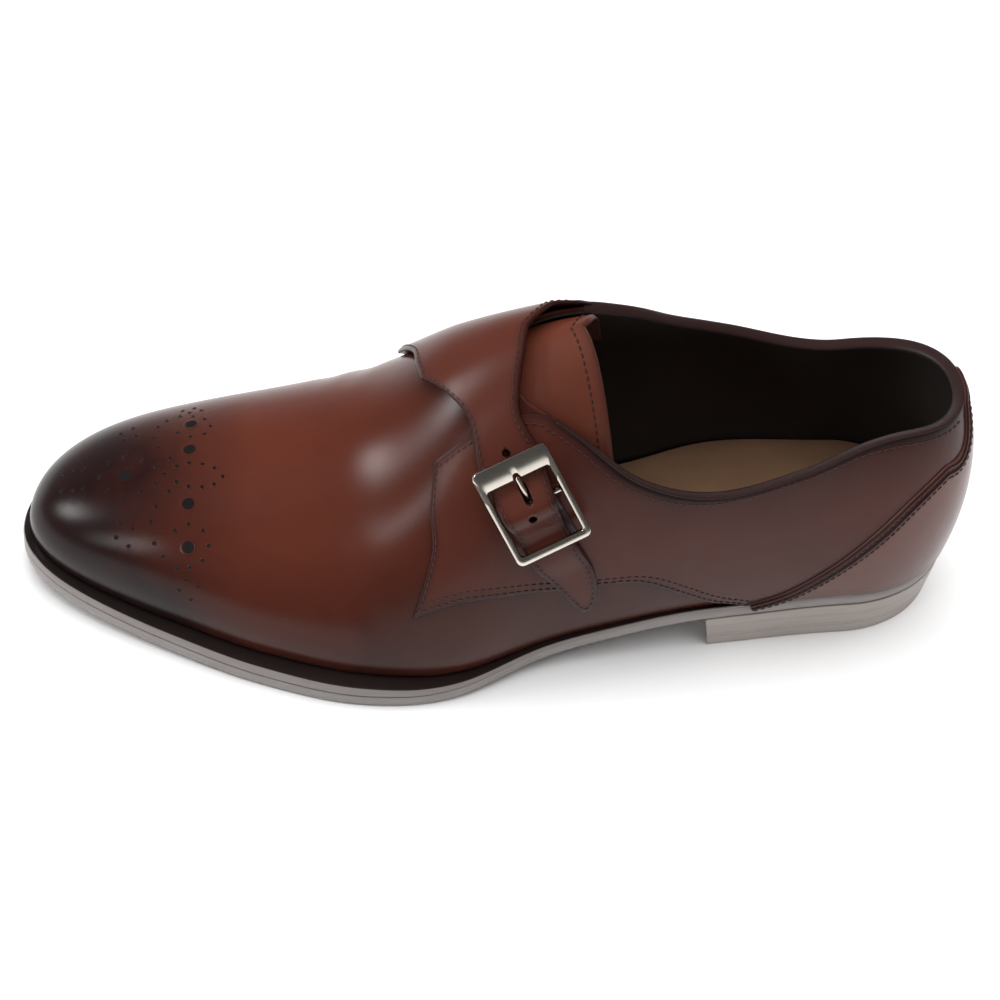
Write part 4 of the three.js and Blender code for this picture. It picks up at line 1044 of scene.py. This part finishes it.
heel_rings = [(above(underside, -0.05), 0.0, 0.15), (above(underside, -0.25), 0.0, 0.0)]
for step in np.linspace(0.08, 0.92, 8):
    heel_rings.append((lambda at, s=step: (underside(at) - 0.25) * (1 - s) + (HEEL_LIFT + 0.1) * s,
                       0.7 * step, -0.06 * np.sin(np.pi * step)))
heel_rings += [(flat(HEEL_LIFT + 0.1), 0.7, 0.0), (flat(HEEL_LIFT + 0.02), 0.7, 0.1)]
heel = heel_piece("heel_block_leather", heel_rings, HEEL, "heel")
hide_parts("heel_block")
lift_piece = heel_piece("heel_lift_rubber", [
    (flat(HEEL_LIFT), 0.7, 0.2), (flat(HEEL_LIFT - 0.2), 0.7, 0.0), (flat(HEEL_LIFT / 2), 0.85, 0.0),
    (flat(0.5), 0.98, 0.0), (flat(0.0), 1.0, 0.4)], LIFT, "heel_lift")
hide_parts("heel_lift")


# Buckle
def rounded_loop(x0, x1, y0, y1, r, corner=8, side=14):
    """A rounded rectangle, each corner and each side with a fixed number of points."""
    points = []
    centres = [(x1 - r, y0 + r, -90), (x1 - r, y1 - r, 0), (x0 + r, y1 - r, 90), (x0 + r, y0 + r, 180)]
    for k, (x, y, start) in enumerate(centres):
        turn = np.radians(start + np.linspace(0, 90, corner))
        arc = np.stack([x + r * np.cos(turn), y + r * np.sin(turn)], -1)
        nx, ny, nstart = centres[(k + 1) % 4]
        begin = np.array([nx + r * np.cos(np.radians(nstart)), ny + r * np.sin(np.radians(nstart))])
        points += [arc, np.linspace(arc[-1], begin, side + 2)[1:-1]]
    return np.concatenate(points)


long, wide_half = BUCKLE_LONG / 2, BUCKLE_WIDE / 2
side_points = 41
outer_loop = rounded_loop(-long, long, -wide_half, wide_half, BUCKLE_CORNER, side=side_points)
inner_loop = rounded_loop(TOP_BAR - long, long - END_BAR, RAIL - wide_half, wide_half - RAIL, 1.0,
                          side=side_points)
room = PRONG / 2 + GAP
notch_x = TOP_BAR - long - NOTCH_DEPTH + room
near = np.abs(inner_loop[:, 1]) < room
top_bar = near & (inner_loop[:, 0] < TOP_BAR - long + 0.01)
inner_loop[top_bar, 0] = notch_x - np.sqrt(room ** 2 - inner_loop[top_bar, 1] ** 2)
profile_in = [(0.0, 0.25), (0.05, 0.06), (0.18, 0.0), (0.5, 0.0), (0.82, 0.0), (0.95, 0.06), (1.0, 0.25),
              (1.0, 0.72), (0.96, 0.93), (0.84, 1.0), (0.5, 1.03), (0.16, 1.0), (0.04, 0.93), (0.0, 0.72)]
rings = []
for share, height in profile_in:
    plan = outer_loop + (inner_loop - outer_loop) * share
    gap = np.linalg.norm(inner_loop - outer_loop, axis=1)
    if 0 < share < 1 and share != 0.5:
        depth = (share if share < 0.5 else 1 - share) * 2.0
        way = (inner_loop - outer_loop) / gap[:, None]
        plan = outer_loop + way * depth if share < 0.5 else inner_loop - way * depth
    rings.append(np.column_stack([plan, np.full(len(plan), BUCKLE_RISE + BUCKLE_THICK * height)]))
buckle_rim = make("buckle_frame_nickel", from_buckle(np.concatenate(rings)),
                  quads(len(rings), len(outer_loop), turn_rows=True, turn_cols=True), NICKEL, "nickel",
                  sharp=50)
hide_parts("buckle_frame")
bar_y = np.linspace(-1, 1, 30)
bar_path = np.column_stack([np.zeros(30), bar_y * (BUCKLE_WIDE - RAIL) / 2,
                            CENTRE_BAR_RISE + 1.3 * np.clip(np.abs(bar_y) - 0.86, 0, 1) / 0.14])
x_way, z_way = np.tile(BUCKLE_AXES[0], (30, 1)), np.tile(BUCKLE_AXES[2], (30, 1))
tube("buckle_bar_nickel", from_buckle(bar_path), x_way, z_way, CENTRE_BAR / 2, CENTRE_BAR / 2, NICKEL,
     "nickel", segments=16)

# Prong: a ring round the bar and a pin whose tip rests in the notch
ring_r = CENTRE_BAR / 2 + GAP + CHAPE / 2
tip = np.array([TOP_BAR - long - NOTCH_DEPTH + PRONG / 2 + GAP + 0.1, 0,
                BUCKLE_RISE + BUCKLE_THICK / 2 + 0.5])
turn = np.linspace(0, 2 * np.pi, 36, endpoint=False)
ring_path = np.column_stack([ring_r * np.cos(turn), np.zeros(36), CENTRE_BAR_RISE + ring_r * np.sin(turn)])
radial = from_buckle(ring_path) - from_buckle([[0, 0, CENTRE_BAR_RISE]])
y_way = np.tile(BUCKLE_AXES[1], (36, 1))
tube("prong_ring_nickel", from_buckle(ring_path), unit(radial), y_way, CHAPE / 2, PRONG / 2, NICKEL, "nickel",
     closed=True, segments=12)
s = np.linspace(0, 1, 26)
start = np.array([-0.9, 0, CENTRE_BAR_RISE + 1.0])
pin_path = start + (tip - start) * s[:, None]
pin_path[:, 2] += 0.35 * np.sin(np.pi * s)
pin_run = unit(np.gradient(pin_path, axis=0))
pin_up = unit(np.cross(pin_run, np.tile([0, 1.0, 0], (26, 1))))
pin_up *= np.sign(pin_up[:, 2:])
slim = PRONG / 2 * (1 - 0.18 * s) * np.sqrt(np.clip(1 - np.clip((s - 0.93) / 0.0705, 0, 1) ** 2, 0.0, 1))
slim[-1] = 0.05
prong = tube("buckle_prong_nickel", from_buckle(pin_path), np.tile(BUCKLE_AXES[1], (26, 1)),
             pin_up @ BUCKLE_AXES, slim, slim * 0.9, NICKEL, "nickel", segments=16)
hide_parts("buckle_prong")

# Chape: a loop of leather round the bar with a tail on the quarter, open in the middle for the prong
for name, y0, y1 in (("chape_left", -CHAPE_WIDE / 2, -1.5), ("chape_right", 1.5, CHAPE_WIDE / 2)):
    turn = np.linspace(-np.pi / 2, -3 * np.pi / 2, 20)
    radius = CENTRE_BAR / 2 + GAP + CHAPE / 2
    y = y0 + (y1 - y0) * np.linspace(0, 1, 9)
    x_tail = np.linspace(CHAPE_LONG, 0.6, 16)
    grid = []
    for yy in y:
        at, across = skin_under(x_tail, np.full(16, yy))
        tail_z = to_buckle(skin(at, across, ON_QUARTER + CHAPE / 2))[:, 2]
        tail = np.column_stack([x_tail, np.full(16, yy), tail_z])
        loop = np.column_stack([radius * np.cos(turn), np.full(20, yy),
                                CENTRE_BAR_RISE + radius * np.sin(turn)])
        back_x = np.linspace(0.7, 6.0, 6)
        back = np.column_stack([back_x, np.full(6, yy),
                                CENTRE_BAR_RISE + radius - (back_x / 6.0) ** 2 * 1.9])
        grid.append(np.concatenate([tail, loop, back]))
    grid = np.array(grid).swapaxes(0, 1)
    run = unit(np.gradient(grid, axis=0))
    normal = unit(np.cross(run, np.tile([0, 1.0, 0], grid.shape[:2] + (1,))))
    points = np.concatenate([(grid + normal * CHAPE / 2).reshape(-1, 3),
                             (grid - normal * CHAPE / 2).reshape(-1, 3)])
    part = make(name, from_buckle(points), slab_faces(*grid.shape[:2]), CHAPE_HIDE, "chape", sharp=50)
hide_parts("chape")


# Stitches
def stitches(name, paths, material, slot, pitch=2.3, length=1.75, thick=0.5, rise=0.25):
    """Short threads along paths given as (points, normals), all in one mesh."""
    points, faces = [], []
    shape = [(-0.5, 0.15), (-0.36, 0.85), (0.0, 1.0), (0.36, 0.85), (0.5, 0.15)]
    turn = np.linspace(0, 2 * np.pi, 6, endpoint=False)
    count = 0
    for path, normals in paths:
        run = run_of(path)
        number = max(int(run[-1] / pitch), 1)
        want = (np.arange(number) + 0.5) * run[-1] / number
        look = lambda values, s: np.stack([np.interp(s, run, values[:, k]) for k in range(3)], -1)
        centre, up = look(path, want), unit(look(normals, want))
        way = unit(look(path, want + 0.4) - look(path, want - 0.4))
        across = unit(np.cross(up, way))
        for share, size in shape:
            sag = -0.30 * (abs(share) * 2) ** 2 * thick
            ring = (centre[:, None] + way[:, None] * (share * length)
                    + across[:, None] * (np.cos(turn) * thick / 2 * size)[None, :, None]
                    + up[:, None] * (np.sin(turn) * thick / 2 * size + rise * thick + sag)[None, :, None])
            points.append(ring.reshape(-1, 3))
        n = number * 6
        j = np.arange(6)
        for k in range(len(shape) - 1):
            base = count + k * n + np.arange(number)[:, None] * 6
            faces.append(np.stack([base + j, base + (j + 1) % 6, base + n + (j + 1) % 6, base + n + j], -1)
                         .reshape(-1, 4))
        count += n * len(shape)
    return make(name, np.concatenate(points), np.concatenate(faces), material, slot)


def normals_of(place, *args):
    return unit(place(*args, above=1.0) - place(*args, above=0.0))


def seam(patch, place, u, depth_low=None, depth_high=None):
    """A stitch path along a patch at a set distance from its low or high line."""
    u = np.linspace(*u, 260)
    line, near = (0.0, 0.04) if depth_low is not None else (1.0, 0.96)
    there, here = (skin(*patch.at(u, np.full(260, v))) for v in (line, near))
    width = np.linalg.norm(there - here, axis=-1) / 0.04
    v = depth_low / width if depth_low is not None else 1 - depth_high / width
    return place(u, v), normals_of(place, u, v)


def end_seam(patch, place, depth, v, at_start=False):
    """A stitch path across a patch at a set distance from its first or last line."""
    v = np.linspace(*v, 120)
    u0 = 0.0 if at_start else float(patch.last)
    inward = 1 if at_start else -1
    there, here = (skin(*patch.at(np.full(120, u), v)) for u in (u0, u0 + inward * 0.2))
    step = np.linalg.norm(there - here, axis=-1) / 0.2
    u = u0 + inward * depth / step
    return place(u, v), normals_of(place, u, v)


paths = [seam(lateral, lateral_place, (0.4, 9), depth_low=1.6),
         seam(lateral, lateral_place, (0.4, 8.6), depth_low=4.2),
         seam(lateral, lateral_place, (0.4, 8.9), depth_high=3.2),
         end_seam(lateral, lateral_place, 1.6, (0.02, 0.98))]
stitches("lateral_quarter_stitches", paths, THREAD, "quarter")
low_rows = [(0.4, 6, 1.6), (0.4, 5.9, 4.2), (6.05, 7.9, 1.8), (8.1, 11.9, 1.8), (12.1, 20.6, 1.7)]
high_rows = [(0.4, 8, 3.2), (8, 20.6, 1.7)]
paths = [*(seam(medial, strap_place, (a, b), depth_low=depth) for a, b, depth in low_rows),
         *(seam(medial, strap_place, (a, b), depth_high=depth) for a, b, depth in high_rows),
         end_seam(medial, strap_place, 1.8, (0.25, 0.75))]
stitches("strap_stitches", paths, THREAD, "quarter")


def counter_line(depth, rise):
    """A path along the counter's edge, below it by depth."""
    ats = np.concatenate([stations(200, COUNTER_AT - 0.004)[:0:-1], stations(200, COUNTER_AT - 0.004)])
    sides = np.concatenate([-np.ones(200), np.ones(201)])
    share = counter_reach(ats, sides)
    edge_line = skin(ats, sides * (1 - share), OVERLAY_GAP + COUNTER - 0.3)
    lower = skin(ats, sides * (1 - np.maximum(share - 0.03, 0)), OVERLAY_GAP + COUNTER - 0.3)
    run = unit(np.gradient(edge_line, axis=0))
    normal = skin_normal(ats, sides * np.maximum(1 - share, 1e-6))
    inward = unit(np.cross(run, normal))
    inward *= np.sign(np.sum(inward * (lower - edge_line + [0, 0, -1e-3]), axis=1))[:, None]
    return edge_line + inward * depth + normal * rise, normal, inward


for k, depth in enumerate((1.0, 3.4)):
    path, normal, inward = counter_line(depth, 0.05)
    keep = slice(4, -4)
    tube("counter_cord_%d" % k, path[keep], inward[keep], normal[keep], 0.75, 0.5, QUARTERS, "quarter",
         segments=8)
path, normal, inward = counter_line(2.2, 0.05)
path_low, normal_low, _ = counter_line(4.9, 0.0)
stitches("counter_stitches", [(path[keep], normal[keep]), (path_low[keep], normal_low[keep])], THREAD,
         "quarter")

line_across = np.linspace(-0.95, 0.95, 200) * TONGUE_HALF[1]
line_at = tongue_rear(line_across) + 4.0 / LAST_LENGTH
tongue_path = (skin(line_at, line_across, TONGUE_LIFT), skin_normal(line_at, line_across))
stitches("tongue_stitches", [tongue_path], DARK_THREAD, "tongue")


# Medallion on the toe, charted: x back from the foremost big hole and y off its middle
# line, in millimetres, the same on both sides
MEDALLION_AT, MEDALLION_LEAN, BIG_HOLE, SMALL_HOLE = (-117.8, -0.5), -0.2, 1.9, 0.6
BIG_HOLES = [(0, 0), (20, 9.6), (20.2, 21.2)]
SMALL_HOLES = [
    (-8, 0), (-5.4, 5.2), (-0.5, 7.3), (5.2, 5.7),
    (-20, 3.6), (-16.4, 4.4), (-13.2, 4),
    (12.3, 0), (9.6, 3.2), (14, 6), (16.2, 2.8), (20, 4.2), (24.2, 4), (27.9, 2.8), (30.5, 0),
    (10, 10.8), (8.5, 15.2), (9.7, 20.5), (12.4, 23.5), (16.6, 25.9), (20.7, 25.6), (24.5, 24),
    (26.4, 20.4), (24.6, 16.7), (20.2, 15.3), (16, 17.2),
    (-1.1, 15.2), (2.8, 16.8), (-2.3, 18.8), (1.6, 21),
    (17.3, 29.5), (19.5, 28), (23.3, 29.2), (21, 31),
]


def on_toe(chart):
    """Points and normals on the skin for charted holes, both sides."""
    chart = np.array(chart, float)
    both = np.concatenate([chart, chart[chart[:, 1] > 0] * (1, -1)])
    x = MEDALLION_AT[0] + both[:, 0]
    y = MEDALLION_AT[1] + MEDALLION_LEAN * both[:, 0] + both[:, 1]
    at, across = np.meshgrid(np.linspace(0.7, 0.999, 300), np.linspace(-0.93, 0.93, 300), indexing="ij")
    at, across = at.ravel(), across.ravel()
    net = skin(at, across)
    found = np.argmin((net[:, :1] - x) ** 2 + (net[:, 1:2] - y) ** 2, axis=0)
    normal = skin_normal(at[found], across[found])
    point = net[found]
    dx, dy = x - point[:, 0], y - point[:, 1]
    point[:, 0], point[:, 1] = x, y
    point[:, 2] -= (normal[:, 0] * dx + normal[:, 1] * dy) / normal[:, 2]
    return point, normal, vamp_tone(at[found], across[found])


def punched(name, centres, normals, tones, radius, material, slot, rings, segments=20):
    """Rings round each centre: how far out, in radii, and how high in millimetres."""
    turn = np.linspace(0, 2 * np.pi, segments, endpoint=False)
    first = unit(np.cross(normals, [1.0, 0.05, 0.0]))
    second = np.cross(normals, first)
    points, faces = [], []
    size = len(rings) * segments
    for i, (c, up, a, b) in enumerate(zip(centres, normals, first, second)):
        for out, height in rings:
            circle = a * np.cos(turn)[:, None] + b * np.sin(turn)[:, None]
            points.append(c + circle * radius * out + up * height)
        faces.append(quads(len(rings), segments, i * size, turn_cols=True))
    points = np.concatenate(points)
    return make(name, points, np.concatenate(faces), material, slot, tone=np.repeat(tones, size),
                edges=np.full(len(points), 20.0))


LIP = [(1.45, -0.03), (1.22, 0.05), (1.08, 0.07), (0.97, 0.0)]
# The toe's holes are not cut: a near-black disc in each stands for the backing seen through it and for
# painted shade of the recess.
SHADE_DISC = [(1.02, 0.03), (0.7, 0.02), (0.02, 0.02)]
for name, chart, size in (("big", BIG_HOLES, BIG_HOLE), ("small", SMALL_HOLES, SMALL_HOLE)):
    centres, normals, tones = on_toe(chart)
    punched("medallion_lips_" + name, centres, normals, tones, size, VAMP, "vamp", LIP)
    punched("medallion_hole_shade_" + name, centres, normals, tones, size, HOLE_SHADE, "vamp", SHADE_DISC)


# Floor, light and camera
def lit_panel(name, place, aim, width, height, power, colour=(1.0, 1.0, 1.0)):
    lamp = bpy.data.lights.new(name, "AREA")
    lamp.shape, lamp.size, lamp.size_y = "RECTANGLE", width, height
    lamp.energy, lamp.color = power, colour
    stand = bpy.data.objects.new(name, lamp)
    bpy.context.scene.collection.objects.link(stand)
    stand.location = place
    stand.rotation_euler = (Vector(aim) - Vector(place)).to_track_quat("-Z", "Y").to_euler()
    return stand


def pale_floor():
    """A pale sheet that rises softly behind the shoe."""
    reach = [(-4.0, 0.0), (1.2, 0.0), (1.6, 0.05), (2.0, 0.25), (2.3, 0.7), (2.4, 3.0)]
    mesh = bpy.data.meshes.new("floor_sheet")
    points = [(x, y, z) for y, z in reach for x in (-5.0, 5.0)]
    faces = [(2 * i, 2 * i + 1, 2 * i + 3, 2 * i + 2) for i in range(len(reach) - 1)]
    mesh.from_pydata(points, [], faces)
    mesh.polygons.foreach_set("use_smooth", [True] * len(mesh.polygons))
    paint = Paint("pale_paper", roughness=0.7)
    paint.put("Base Color", (0.9, 0.9, 0.9))
    mesh.materials.append(paint.material)
    sheet = bpy.data.objects.new("floor_sheet", mesh)
    bpy.context.scene.collection.objects.link(sheet)


pale_floor()
overhead = lit_panel("overhead_softbox", (0.1, 0.2, 1.6), (0, 0, 0), 2.4, 2.0, 60)
overhead.visible_glossy = False
lit_panel("toe_softbox", (-1.25, 0.05, 0.72), (0, 0, 0.03), 0.4, 0.22, 6)
lit_panel("side_softbox", (-1.05, -0.75, 0.6), (0, 0, 0.03), 0.15, 0.4, 2)
world = bpy.data.worlds.new("studio_air")
world.use_nodes = True
air = next(node for node in world.node_tree.nodes if node.type == "BACKGROUND")
air.inputs["Color"].default_value = (1.0, 1.0, 1.0, 1.0)
air.inputs["Strength"].default_value = 0.08
bpy.context.scene.world = world
bpy.context.scene.view_settings.view_transform = "Standard"

# The photo's own view: turned round the shoe, raised, rolled a little, far off with a long lens
TURN, RAISE, ROLL = np.radians([-8.53, 46.79, 6.58])
AWAY, AIM = 814.7, (5.16, 70.02, 40.0)
backward = np.array([np.sin(TURN) * np.cos(RAISE), -np.cos(TURN) * np.cos(RAISE), np.sin(RAISE)])
right = unit(np.cross(-backward, [0.0, 0.0, 1.0]))
upward = np.cross(right, -backward)
right, upward = (right * np.cos(ROLL) + upward * np.sin(ROLL), upward * np.cos(ROLL) - right * np.sin(ROLL))
lens = bpy.data.cameras.new("main_camera")
lens.lens, lens.sensor_width = 86.4, 36.0
lens.shift_y = -0.18
lens.clip_start, lens.clip_end = 0.05, 20.0
camera = bpy.data.objects.new("main_camera", lens)
bpy.context.scene.collection.objects.link(camera)
spot = to_metres(np.array(AIM) + backward * AWAY)
turned = [[right[i], upward[i], backward[i], spot[i]] for i in range(3)]
camera.matrix_world = Matrix(turned + [[0, 0, 0, 1]])
bpy.context.scene.camera = camera
